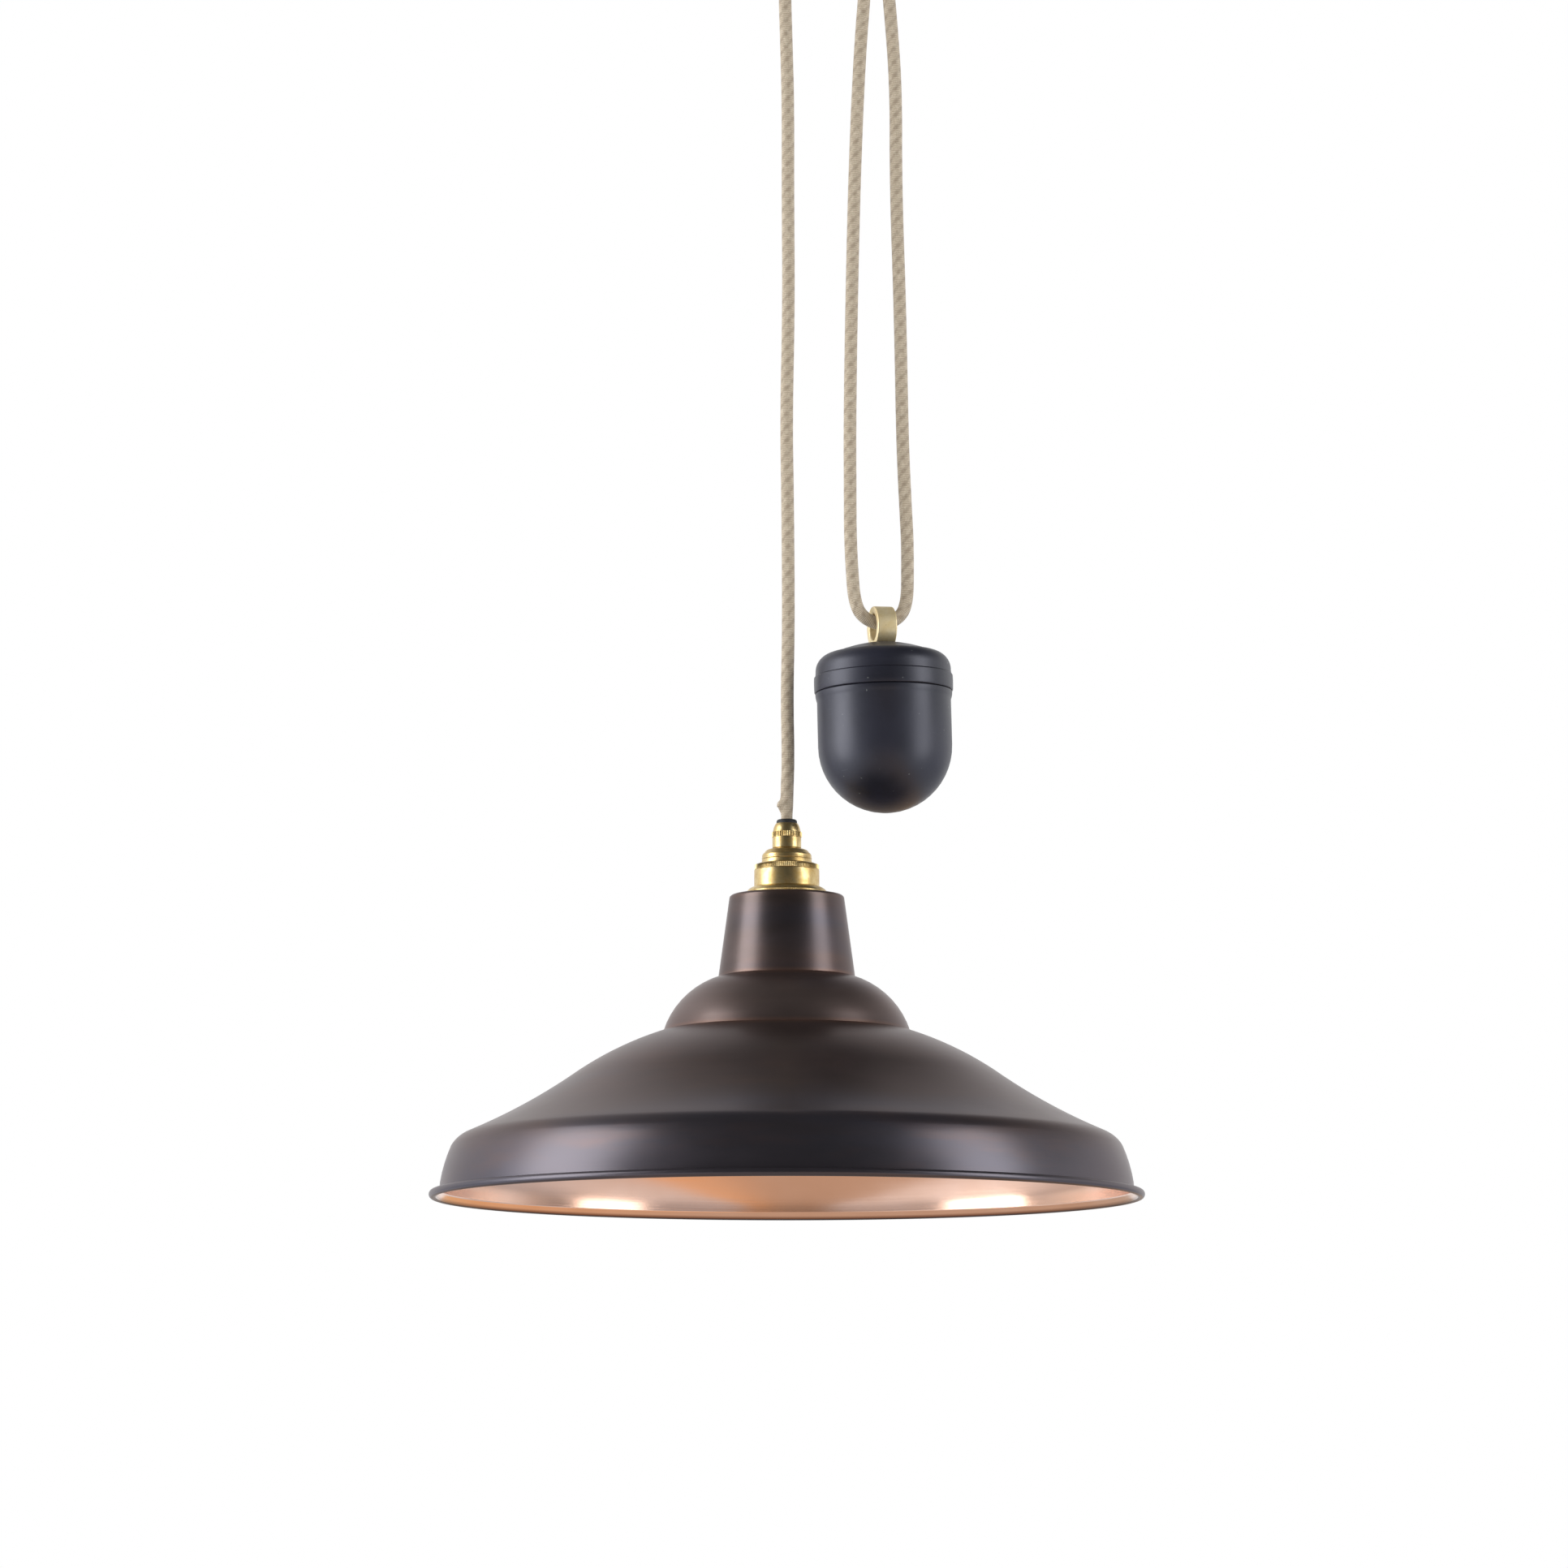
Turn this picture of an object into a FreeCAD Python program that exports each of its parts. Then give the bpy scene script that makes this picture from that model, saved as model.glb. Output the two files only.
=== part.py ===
# Rise and fall pendant: a spun shade on a bayonet lampholder hangs from a braided cord that runs over a
# ceiling pulley, down through the ring of a counterweight and back up to a fixed grip on the ceiling cup.
# Millimetres and degrees. Origin: centre of the ceiling plate's top face. +Z up, +X towards the weight.
import FreeCAD, Part
import math
import os
import re

import Sketcher

Vector = FreeCAD.Vector

# ---------------------------------------------------------------- driving dimensions
SIZES = {
    # how it hangs
    "rim_drop": 862.4,          # ceiling face to the lowest edge of the shade's rim
    "axle_drop": 82.0,          # ceiling face to the pulley's axle
    "strand_lean": 1.4,         # the lamp hangs this much inside the pulley's left edge
    "ring_x": 34.4,             # centre of the weight's ring, from the pulley's centre line
    "ring_lift": 349.1,         # the ring's centre above the rim's lowest edge
    "weight_tilt": 1.3,         # the weight's foot leans out
    "ring_yaw": 15.0,           # the ring's left end turns towards the viewer
    # cord
    "cord_r": 3.9,
    "cord_gap": 0.3,            # running clearance round the cord
    "core_r": 1.1,              # one insulated core
    # pulley
    "pitch_r": 25.2,            # pulley centre to cord centre
    "sheave_r": 28.5,
    "sheave_half": 7.0,
    "web_half": 2.5,
    "hub_r": 9.5,
    "rim_inner_r": 17.0,
    "bush_r": 6.0,
    "axle_r": 4.0,
    "running_gap": 0.04,
    "axle_head_r": 6.0,
    "axle_head": 2.4,
    "yoke_gap": 16.6,           # between the two cheeks
    "yoke_wall": 2.5,
    "yoke_width": 18.0,
    "yoke_bend": 3.1,
    # ceiling fitting
    "plate_r": 50.0,
    "plate_wall": 1.5,
    "slot_spacing": 50.8,
    "slot_r": 2.25,
    "slot_length": 11.0,
    "entry_r": 6.0,
    "entry_x": 26.0,
    "entry_y": 28.0,
    "tab_width": 12.0,
    "tab_drop": 15.0,
    "tab_inset": 2.0,           # the tabs stand this far inside the plate's edge
    "tab_foot": 6.0,
    "tab_bend": 2.5,
    "screw_drop": 9.0,
    "screw_r": 2.0,
    "screw_head_r": 5.0,
    "screw_head": 5.0,
    "cup_r": 56.0,
    "cup_depth": 36.0,
    "cup_wall": 1.0,
    "cup_corner": 11.0,
    "cup_gap": 0.3,             # the cup's lip stops this far below the ceiling
    "stud_r": 4.0,
    "nut_r": 7.5,
    "nut_height": 6.5,
    "washer_r": 7.6,
    "washer_wall": 1.5,
    "grip_x": 36.0,             # fixed end of the cord, from the pulley's centre line
    "block_length": 26.0,
    "block_width": 16.0,
    "block_height": 12.0,
    "block_x": 30.0,
    "way_pitch": 8.0,
    "insert_r": 2.0,
    "post_r": 3.5,
    "post_x": 22.0,
    "post_y": 24.0,
    # cord grip, one on the cup and one on the lampholder, measured from its seat
    "nipple_r": 5.0,
    "nipple_length": 8.0,
    "collar_neck": 1.0,
    "collar_neck_r": 8.1,
    "collar_r": 8.75,
    "collar_height": 6.6,
    "band_r": 9.15,
    "band_height": 3.5,
    "cone_height": 5.1,
    "cone_foot_r": 8.4,
    "cone_top_r": 6.6,
    "spigot_r": 6.6,
    "bush_height": 2.3,
    "bush_top_r": 5.4,
    "bush_foot_r": 6.3,
    "locknut_r": 8.0,
    "locknut_height": 3.0,
    # lampholder, from the shade's top upwards
    "flange_height": 5.0,
    "flange_edge": 2.2,
    "flange_r": 24.6,
    "flange_top_r": 20.3,
    "skirt_height": 10.4,
    "skirt_r": 19.75,
    "skirt_wall": 1.15,
    "union_height": 4.1,
    "union_r": 19.6,
    "drum_height": 4.3,
    "drum_r": 15.2,
    "dome_height": 4.0,
    "cap_top_r": 8.8,
    "cap_bulge": 1.2,
    "cap_wall": 1.2,
    "barrel_r": 14.3,
    "barrel_drop": 14.2,        # lampholder barrel below the shade's top
    "socket_r": 11.2,
    "socket_depth": 17.0,
    "shell_wall": 1.2,
    "shell_drop": 27.2,         # bayonet shell's mouth below the shade's top
    "shell_top": 4.2,           # its inner end below the shade's top
    "slot_width": 2.4,
    "slot_rise": 10.3,
    "slot_turn": 6.0,
    "insulator_height": 18.0,
    "contact_x": 5.7,
    "plunger_r": 2.5,
    "plunger_tip_r": 2.0,
    "plunger_reach": 3.5,
    "plunger_body": 6.0,
    "spring_height": 6.2,
    "shade_ring_r": 22.0,
    "shade_ring_height": 5.0,
    # shade, heights above the rim's lowest edge
    "shade_wall": 0.9,
    "rim_wire_r": 1.5,          # inside of the curl
    "wire_gap": 0.35,           # the wire lies this loose in the curl
    "shade_r": 215.0,           # outside of the rim's bead
    "shade_height": 184.2,
    "neck_top_r": 34.9,
    "neck_corner": 2.2,
    "neck_foot_r": 41.4,
    "neck_foot": 134.4,
    "dome_foot_r": 74.6,
    "dome_foot": 101.4,
    "dome_bulge": 5.8,
    "bend_r": 131.0,            # where the cone turns from convex to hollow
    "bend_height": 73.2,
    "upper_bulge": 2.5,
    "lower_hollow": 1.75,
    "shoulder_step": 8.9,       # shoulder inside the top of the apron
    "shoulder": 39.0,
    "shoulder_bulge": 1.0,
    "apron_lean": 6.4,          # top of the apron inside its foot
    "apron": 31.3,
    "apron_bulge": 0.75,
    "bead_step": 4.3,           # foot of the apron inside the bead's centre line
    "apron_foot": 9.4,
    # counterweight, heights above its foot
    "weight_r": 40.85,          # and the radius of its bowl
    "body_wall": 4.0,
    "body_shoulder": 68.5,
    "body_flare": 1.05,         # the body's top beyond its radius
    "body_top": 73.8,
    "band_step": 1.15,          # the band beyond the body's radius
    "weight_band": 10.1,
    "band_bulge": 0.35,
    "cap_step": 0.75,           # the cap beyond the body's radius
    "cap_side": 2.8,
    "cap_slope": 9.85,          # the cap's shoulder inside the body's radius
    "cap_shoulder": 98.1,
    "shoulder_round": 3.2,
    "cap_crown": 104.9,
    "crown_bulge": 0.9,
    "spigot_height": 4.9,
    "ballast_gap": 0.3,
    "ring_rise": 114.2,         # ring centre above the weight's foot
    "ring_r": 12.8,
    "ring_hole_r": 8.0,
    "ring_half": 6.05,
    "ring_round": 1.5,
    "shank_r": 4.0,
    "shank_length": 43.0,
    "shank_nut_r": 7.5,
    "shank_nut": 6.5,
}

# ---------------------------------------------------------------- sizes worked out from them
DERIVED = {
    "ring_drop": "rim_drop - ring_lift",
    "bead_outer": "rim_wire_r + shade_wall",
    "bead_r": "shade_r - bead_outer",
    "apron_foot_r": "bead_r - bead_step",
    "apron_r": "apron_foot_r - apron_lean",
    "shoulder_r": "apron_r - shoulder_step",
    "lamp_x": "pitch_r - strand_lean",
    "groove_r": "pitch_r - cord_r - cord_gap",
    "skirt_seat": "shade_height + flange_height",
    "union_seat": "skirt_seat + skirt_height",
    "drum_seat": "union_seat + union_height",
    "dome_seat": "drum_seat + drum_height",
    "grip_seat": "dome_seat + dome_height",
    "band_seat": "collar_neck + collar_height",
    "cone_seat": "band_seat + band_height",
    "bush_seat": "cone_seat + cone_height",
    "grip_length": "bush_seat + bush_height",
    "cup_floor": "cup_depth + cup_gap",
    "yoke_seat": "cup_floor",
    "washer_seat": "yoke_seat + yoke_wall",
    "hanger_seat": "washer_seat + washer_wall",
    "cheek": "yoke_gap / 2 + yoke_wall",
    "shell_r": "socket_r + shell_wall",
    "barrel_bore": "shell_r + 0.05",
    "shell_mouth": "shade_height - shell_drop",
    "insulator_seat": "shade_height - shell_top",
    "plunger_seat": "insulator_seat + 1.2",
    "spring_seat": "plunger_seat + 0.1 + plunger_body",
    "terminal_seat": "spring_seat + spring_height",
    "flange_seat": "drum_seat - 2.3",
    "band_top": "body_top + weight_band",
    "cap_seat": "band_top",
    "body_top_r": "weight_r + body_flare",
    "weight_band_r": "weight_r + band_step",
    "cap_r": "weight_r + cap_step",
    "cap_shoulder_r": "weight_r - cap_slope",
    "spigot_wall_r": "weight_r - 2.0",
    "grip_drop": "cup_floor + grip_length",
}

doc = FreeCAD.newDocument("RiseAndFallPendant")
sheet = doc.addObject("Spreadsheet::Sheet", "Sizes")
for row, (name, value) in enumerate(SIZES.items(), start=1):
    sheet.set("A%d" % row, name)
    sheet.set("B%d" % row, str(value))
    sheet.setAlias("B%d" % row, name)
doc.recompute()
for row, (name, formula) in enumerate(DERIVED.items(), start=1):
    sheet.set("D%d" % row, name)
    sheet.set("E%d" % row, "=" + formula)
    sheet.setAlias("E%d" % row, name)
    doc.recompute()

NAMES = set(SIZES) | set(DERIVED)
QUARTER = " * (1 - cos(45))"    # height of a quarter circle's arc, as a share of its radius
NODES = []


def number(formula):
    """The value of a formula written in the sheet's names."""
    value = sheet.evalExpression(str(formula))
    return float(getattr(value, "Value", value))


def tied(formula):
    """The same formula as another object has to write it."""
    return re.sub(r"[a-z]\w*", lambda word: ("Sizes." if word.group() in NAMES else "") + word.group(),
                  str(formula))


def bind(item, **formulas):
    """Tie properties of an object to formulas in the sheet's names."""
    for name, formula in formulas.items():
        item.setExpression(name, tied(formula))


# ---------------------------------------------------------------- places
PLACES = {
    "ceiling": "placement(vector(0; 0; 0); rotation(vector(0; 0; 1); 0))",
    "pulley": "placement(vector(0; 0; -axle_drop); rotation(vector(1; 0; 0); 90))",
    "lamp": "placement(vector(-lamp_x; 0; -rim_drop); rotation(vector(0; 0; 1); 0))",
    "lamp_grip": "placement(vector(-lamp_x; 0; grip_seat - rim_drop); rotation(vector(0; 0; 1); 0))",
    "ceiling_grip": "placement(vector(grip_x; 0; -cup_floor); rotation(vector(0; 1; 0); 180))",
    "ring": "placement(vector(ring_x; 0; -ring_drop);"
            " rotation(vector(0; 1; 0); -weight_tilt) * rotation(vector(0; 0; 1); ring_yaw))",
}
PLACES["weight"] = PLACES["ring"] + " * placement(vector(0; 0; -ring_rise); rotation(vector(0; 0; 1); 0))"


def seat(item, place, at=("0", "0", "0"), turn=("0; 0; 1", "0")):
    """Put an object at a point of a place, turned about an axis there."""
    here = " * placement(vector(%s); rotation(vector(%s); %s))" % ("; ".join(at), turn[0], turn[1])
    bind(item, Placement=PLACES[place] + here)
    return item


def node(item, label):
    """Name an object as one sub-part of the pendant."""
    item.Label = label
    NODES.append(item)
    return item


# ---------------------------------------------------------------- sketches and turned pieces
def hold(sketch, constraint, formula):
    """Add a sketch dimension and tie it to a formula."""
    index = sketch.addConstraint(Sketcher.Constraint(*constraint, number(formula)))
    sketch.setExpression("Constraints[%d]" % index, tied(formula))


def hold_arc(sketch, edge, start, end, bulge):
    """Fix an arc between two fixed points: by its radius, or by its centre if it is a half circle."""
    across, along = number("(%s) - (%s)" % (end[0], start[0])), number("(%s) - (%s)" % (end[1], start[1]))
    if abs(number(bulge)) > 0.49 * math.hypot(across, along):
        axis = 1 if abs(across) > abs(along) else 0
        middle = "((%s) + (%s)) / 2" % (start[axis], end[axis])
        hold(sketch, (("DistanceX", "DistanceY")[axis], -1, 1, edge, 3), middle)
    else:
        chord = "((%s) - (%s))^2 + ((%s) - (%s))^2" % (end[0], start[0], end[1], start[1])
        hold(sketch, ("Radius", edge), "((%s) / 4 + (%s)^2) / (2 * abs(%s))" % (chord, bulge, bulge))


def draw_circle(sketch, radius, x, y):
    """A circle whose centre and radius are tied to the sheet."""
    edge = sketch.addGeometry(Part.Circle(Vector(number(x), number(y), 0), Vector(0, 0, 1), number(radius)))
    hold(sketch, ("Radius", edge), radius)
    hold(sketch, ("DistanceX", -1, 1, edge, 3), x)
    hold(sketch, ("DistanceY", -1, 1, edge, 3), y)


def draw(sketch, points, closed=True):
    """Lines and arcs through points (x, y[, bulge]). A bulge is the height of the arc that arrives at the
    point, to the left of the walk; each coordinate and radius is tied to the sheet."""
    spots = [Vector(number(point[0]), number(point[1]), 0) for point in points]
    count = len(points)
    edges = []
    for index in range(count if closed else count - 1):
        following = (index + 1) % count
        start, end = spots[index], spots[following]
        bulge = points[following][2] if len(points[following]) > 2 else None
        if bulge is None:
            edge = sketch.addGeometry(Part.LineSegment(start, end))
        else:
            chord = end - start
            left = Vector(-chord.y, chord.x, 0).normalize()
            middle = (start + end) * 0.5 + left * number(bulge)
            edge = sketch.addGeometry(Part.Arc(start, middle, end))
        first = 1 if sketch.getPoint(edge, 1).distanceToPoint(start) < 1e-6 else 2
        edges.append((edge, first, 3 - first))
        if bulge is not None:
            hold_arc(sketch, edge, points[index], points[following], bulge)
    for index in range(count):
        if index == len(edges):
            edge, _, position = edges[-1]
        else:
            edge, position, _ = edges[index]
            if closed or index > 0:
                before, _, last = edges[index - 1]
                sketch.addConstraint(Sketcher.Constraint("Coincident", before, last, edge, position))
        hold(sketch, ("DistanceX", -1, 1, edge, position), points[index][0])
        hold(sketch, ("DistanceY", -1, 1, edge, position), points[index][1])


def sketch_in(body, plane, *outlines):
    """A sketch on one of a body's own origin planes."""
    sketch = body.newObject("Sketcher::SketchObject", "Outline")
    support = [feature for feature in body.Origin.OriginFeatures if feature.Role == plane][0]
    sketch.AttachmentSupport = [(support, "")]
    sketch.MapMode = "FlatFace"
    for outline in outlines:
        if isinstance(outline, dict):
            draw_circle(sketch, **outline)
        else:
            draw(sketch, outline)
    return sketch


def turned(outline, place, axis="V_Axis"):
    """A body turned from half of its section, drawn as (radius, height)."""
    body = doc.addObject("PartDesign::Body", "Turned")
    add_turned(body, outline, axis)
    return seat(body, place)


def add_turned(body, outline, axis="V_Axis"):
    """One more turned section in a body."""
    sketch = sketch_in(body, "XZ_Plane", outline)
    feature = body.newObject("PartDesign::Revolution", "Turn")
    feature.Profile = sketch
    feature.ReferenceAxis = (sketch, [axis])
    feature.Angle = 360
    doc.recompute()


def pad(body, plane, length, *outlines, reverse=False, middle=False):
    """Raise outlines from one of a body's planes."""
    feature = body.newObject("PartDesign::Pad", "Pad")
    feature.Profile = sketch_in(body, plane, *outlines)
    bind(feature, Length=length)
    feature.Reversed = reverse
    feature.Midplane = middle
    doc.recompute()


def pocket(body, plane, *outlines, middle=False, reverse=False, length=None):
    """Cut outlines from one of a body's planes, right through unless a length is given."""
    before = body.Shape.Volume
    feature = body.newObject("PartDesign::Pocket", "Pocket")
    feature.Profile = sketch_in(body, plane, *outlines)
    if length is None:
        feature.Type = "ThroughAll"
    else:
        bind(feature, Length=length)
    feature.Midplane = middle
    feature.Reversed = reverse
    doc.recompute()
    if body.Shape.Volume > before - 0.1:
        raise RuntimeError("a pocket in %s cuts nothing" % body.Label)
    return feature


def disc(radius, x="0", y="0"):
    """A circle, for a sketch."""
    return {"radius": radius, "x": x, "y": y}


def rectangle(x0, x1, y0, y1):
    return [(x0, y0), (x1, y0), (x1, y1), (x0, y1)]


# ---------------------------------------------------------------- plain solids and booleans
def cylinder(radius, height, place, at=("0", "0", "0"), turn=("0; 0; 1", "0")):
    item = doc.addObject("Part::Cylinder", "Round")
    bind(item, Radius=radius, Height=height)
    return seat(item, place, at, turn)


def box(length, width, height, place, at):
    item = doc.addObject("Part::Box", "Block")
    bind(item, Length=length, Width=width, Height=height)
    return seat(item, place, at)


def hexagon(corner_r, height, place, at=("0", "0", "0")):
    item = doc.addObject("Part::Prism", "Hexagon")
    item.Polygon = 6
    bind(item, Circumradius=corner_r, Height=height)
    return seat(item, place, at)


def joined(*items):
    item = doc.addObject("Part::MultiFuse", "Joined")
    item.Shapes = list(items)
    doc.recompute()
    return item


def cut(base, *tools):
    item = doc.addObject("Part::Cut", "Cut")
    item.Base = base
    item.Tool = tools[0] if len(tools) == 1 else joined(*tools)
    doc.recompute()
    return item


def group(*items):
    """Separate solids that share one node."""
    item = doc.addObject("Part::Compound", "Group")
    item.Links = list(items)
    doc.recompute()
    return item


# ---------------------------------------------------------------- cords and wires
def tube(points, radius):
    """A round tube along straight runs joined by tangent arcs, each as large as its two runs allow."""
    spots = [Vector(*point) for point in points]
    edges = []
    radii = []
    here = spots[0]
    for before, corner, after in zip(spots, spots[1:], spots[2:]):
        back = (before - corner).normalize()
        ahead = (after - corner).normalize()
        turn = math.pi - back.getAngle(ahead)
        trim = 0.45 * min(corner.distanceToPoint(before), corner.distanceToPoint(after))
        bend = trim / math.tan(turn / 2)
        start, end = corner + back * trim, corner + ahead * trim
        inward = (back + ahead).normalize()
        middle = corner + inward * (bend / math.cos(turn / 2) - bend)
        edges.append(Part.LineSegment(here, start).toShape())
        edges.append(Part.Arc(start, middle, end).toShape())
        radii.append(bend)
        here = end
    edges.append(Part.LineSegment(here, spots[-1]).toShape())
    path = Part.Wire(edges)
    length = path.Length
    heading = (spots[1] - spots[0]).normalize()
    section = Part.Wire([Part.makeCircle(radius, spots[0], heading)])
    solid = path.makePipeShell([section], True, False)
    if not solid.isValid() or abs(solid.Volume / (math.pi * radius ** 2 * length) - 1) > 0.01:
        raise RuntimeError("a tube has the wrong volume")
    return solid, length, radii


def cord(label, points, radius="cord_r"):
    """One free stretch of the cord, as its own sub-part."""
    solid, length, radii = tube(points, number(radius))
    print(label, "length %.1f" % length, "radii", ["%.1f" % bend for bend in radii])
    item = doc.addObject("Part::Feature", "Cord")
    item.Shape = solid
    return node(item, label)


def wires(label, *routes):
    """Insulated cores in one node."""
    item = doc.addObject("Part::Feature", "Wires")
    item.Shape = Part.makeCompound([tube(route, number("core_r"))[0] for route in routes])
    return node(item, label)


# ---------------------------------------------------------------- cord grip, used twice
def cord_grip(name, place):
    """Collar with a threaded nipple, cone nut, rubber bush and the end of the cord inside them."""
    body = turned([
        ("cord_r + cord_gap", "-nipple_length"), ("nipple_r", "-nipple_length"), ("nipple_r", "0"),
        ("collar_neck_r", "0"), ("collar_neck_r", "collar_neck"), ("collar_r", "collar_neck"),
        ("collar_r", "band_seat"), ("spigot_r", "band_seat"), ("spigot_r", "band_seat + 5"),
        ("cord_r + cord_gap", "band_seat + 5")], place)
    node(body, name + "_grip_body")
    nut = turned([
        ("spigot_r + 0.1", "band_seat"), ("band_r", "band_seat"), ("band_r", "cone_seat"),
        ("cone_foot_r", "cone_seat"), ("cone_top_r", "bush_seat"), ("bush_top_r - 0.1", "bush_seat"),
        ("bush_top_r - 0.1", "bush_seat - 0.7"), ("bush_top_r", "bush_seat - 1.8"),
        ("spigot_r - 1", "bush_seat - 3.1"), ("spigot_r + 0.1", "band_seat + 5.2")], place)
    node(nut, name + "_grip_nut")
    bush = turned([
        ("cord_r + 0.05", "band_seat + 5.1"), ("bush_top_r", "band_seat + 5.1"),
        ("bush_top_r - 0.2", "bush_seat - 1.9"), ("bush_top_r - 0.2", "bush_seat"),
        ("bush_foot_r", "bush_seat"), ("bush_top_r", "grip_length", "-0.35"),
        ("cord_r + 0.05", "grip_length")], place)
    node(bush, name + "_grip_bush")
    tail = cylinder("cord_r", "nipple_length + grip_length", place, ("0", "0", "-nipple_length"))
    node(tail, name + "_cord_tail")


# ---------------------------------------------------------------- ceiling fitting
def ceiling_plate():
    """Round plate with two slots for the ceiling screws and a cable hole."""
    half = "(slot_length / 2 - slot_r)"
    slots = []
    for side in ("-", ""):
        low = "%sslot_spacing / 2 - %s" % (side, half)
        high = "%sslot_spacing / 2 + %s" % (side, half)
        slots.append([("-slot_r", high, "-slot_r"), ("-slot_r", low), ("slot_r", low, "-slot_r"),
                      ("slot_r", high)])
    body = doc.addObject("PartDesign::Body", "Plate")
    pad(body, "XY_Plane", "plate_wall", disc("plate_r"), reverse=True)
    pocket(body, "XY_Plane", *slots)
    pocket(body, "XY_Plane", disc("entry_r", "-entry_x", "-entry_y"))
    seat(body, "ceiling")
    return body


def plate_tabs():
    """Two bent tabs spot-welded under the plate, each tapped for one of the cup's side screws."""
    outer = "(plate_r - tab_inset)"
    inner, under = outer + " - plate_wall", "-2 * plate_wall"
    bend_start, bend_end = outer + " - tab_bend", "-plate_wall - tab_bend"
    tabs = []
    for turn in ("0", "180"):
        body = doc.addObject("PartDesign::Body", "Tab")
        pad(body, "YZ_Plane", "tab_width", [
            (outer + " - tab_foot", "-plate_wall"), (bend_start, "-plate_wall"),
            (outer, bend_end, "tab_bend" + QUARTER), (outer, "-tab_drop"), (inner, "-tab_drop"),
            (inner, bend_end), (bend_start, under, "-(tab_bend - plate_wall)" + QUARTER),
            (outer + " - tab_foot", under)], middle=True)
        pocket(body, "XZ_Plane", disc("screw_r + 0.05", "0", "-screw_drop"), middle=True)
        tabs.append(seat(body, "ceiling", turn=("0; 0; 1", turn)))
    return group(*tabs)


def ceiling_cup():
    """Spun cup: flat floor with holes for the stud and the cord grip, and a side that is rounded into it,
    with holes for two screws."""
    inner = "cup_r - cup_wall"
    edge, floor = "cup_r - cup_corner", "-cup_floor + cup_wall"
    round_in = "(cup_corner - cup_wall)"
    base = turned([
        ("stud_r + 0.2", "-cup_floor"), (edge, "-cup_floor"), (edge, floor), ("stud_r + 0.2", floor)],
        "ceiling")
    pocket(base, "XY_Plane", disc("nipple_r + 0.1", "grip_x"))
    node(base, "cup_base")
    side = turned([
        (edge, floor), (inner, "-cup_floor + cup_corner", "-" + round_in + QUARTER), (inner, "-cup_gap"),
        ("cup_r", "-cup_gap"), ("cup_r", "-cup_floor + cup_corner"),
        (edge, "-cup_floor", "cup_corner" + QUARTER)], "ceiling")
    pocket(side, "XZ_Plane", disc("screw_r + 0.2", "0", "-screw_drop"), middle=True)
    node(side, "ceiling_cup")


def cup_screws():
    """Two thumb screws through the cup's side into the plate's tabs."""
    screws = []
    for turn in ("90", "-90"):
        side = "-" if turn == "90" else ""
        head_at = ("0", side + "(cup_r + 0.1)", "-screw_drop")
        shank_at = ("0", side + "(plate_r - 5)", "-screw_drop")
        head = cylinder("screw_head_r", "screw_head", "ceiling", head_at, ("1; 0; 0", turn))
        shank = cylinder("screw_r", "cup_r - plate_r + 6", "ceiling", shank_at, ("1; 0; 0", turn))
        screws.append(joined(head, shank))
    return group(*screws)


def hanger():
    """Welded stud through the cup's floor, with its nut and washer under the yoke."""
    stud = cylinder("stud_r", "hanger_seat + nut_height + 1 - plate_wall", "ceiling",
                    ("0", "0", "-hanger_seat - nut_height - 1"))
    node(stud, "hanger_stud")
    washer = cut(cylinder("washer_r", "washer_wall", "ceiling", ("0", "0", "-hanger_seat")),
                 cylinder("stud_r + 0.1", "washer_wall + 2", "ceiling", ("0", "0", "-hanger_seat - 1")))
    node(washer, "hanger_washer")
    nut = cut(hexagon("nut_r", "nut_height", "ceiling", ("0", "0", "-hanger_seat - nut_height")),
              cylinder("stud_r + 0.03", "nut_height + 2", "ceiling",
                       ("0", "0", "-hanger_seat - nut_height - 1")))
    node(nut, "hanger_nut")


def terminals():
    """Three-way terminal block with its brass inserts and screws, and the earth post."""
    left, front = "-block_x - block_width / 2", "-block_length / 2"
    low = "-plate_wall - block_height"
    middle = "-plate_wall - block_height / 2"
    bores, inserts, holes, screws = [], [], [], []
    for way in ("-way_pitch", "0", "way_pitch"):
        bores.append(cylinder("insert_r + 0.05", "block_width + 2", "ceiling", (left + " - 1", way, middle),
                              ("0; 1; 0", "90")))
        tube_of_brass = cylinder("insert_r", "block_width - 3", "ceiling", (left + " + 1.5", way, middle),
                                 ("0; 1; 0", "90"))
        wire_bore = cylinder("core_r + 0.1", "block_width - 1", "ceiling", (left + " + 0.5", way, middle),
                             ("0; 1; 0", "90"))
        inserts.append(cut(tube_of_brass, wire_bore))
        for offset in ("-block_width / 4", "block_width / 4"):
            spot = "-block_x + " + offset
            holes.append(cylinder("1.55", "block_height / 2 - insert_r", "ceiling", (spot, way, low)))
            screws.append(cylinder("1.5", "block_height / 2 - insert_r - 0.5", "ceiling",
                                   (spot, way, low + " + 0.5")))
    block = box("block_width", "block_length", "block_height", "ceiling", (left, front, low))
    node(cut(block, *bores, *holes), "terminal_block")
    node(group(*inserts), "terminal_inserts")
    node(group(*screws), "terminal_screws")
    post = cylinder("post_r", "8", "ceiling", ("post_x", "post_y", "-plate_wall - 8"))
    hole = cylinder("core_r + 0.1", "post_r + 1", "ceiling", ("post_x", "post_y", "-plate_wall - 5"),
                    ("0; 1; 0", "90"))
    node(cut(post, hole), "earth_terminal")


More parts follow.
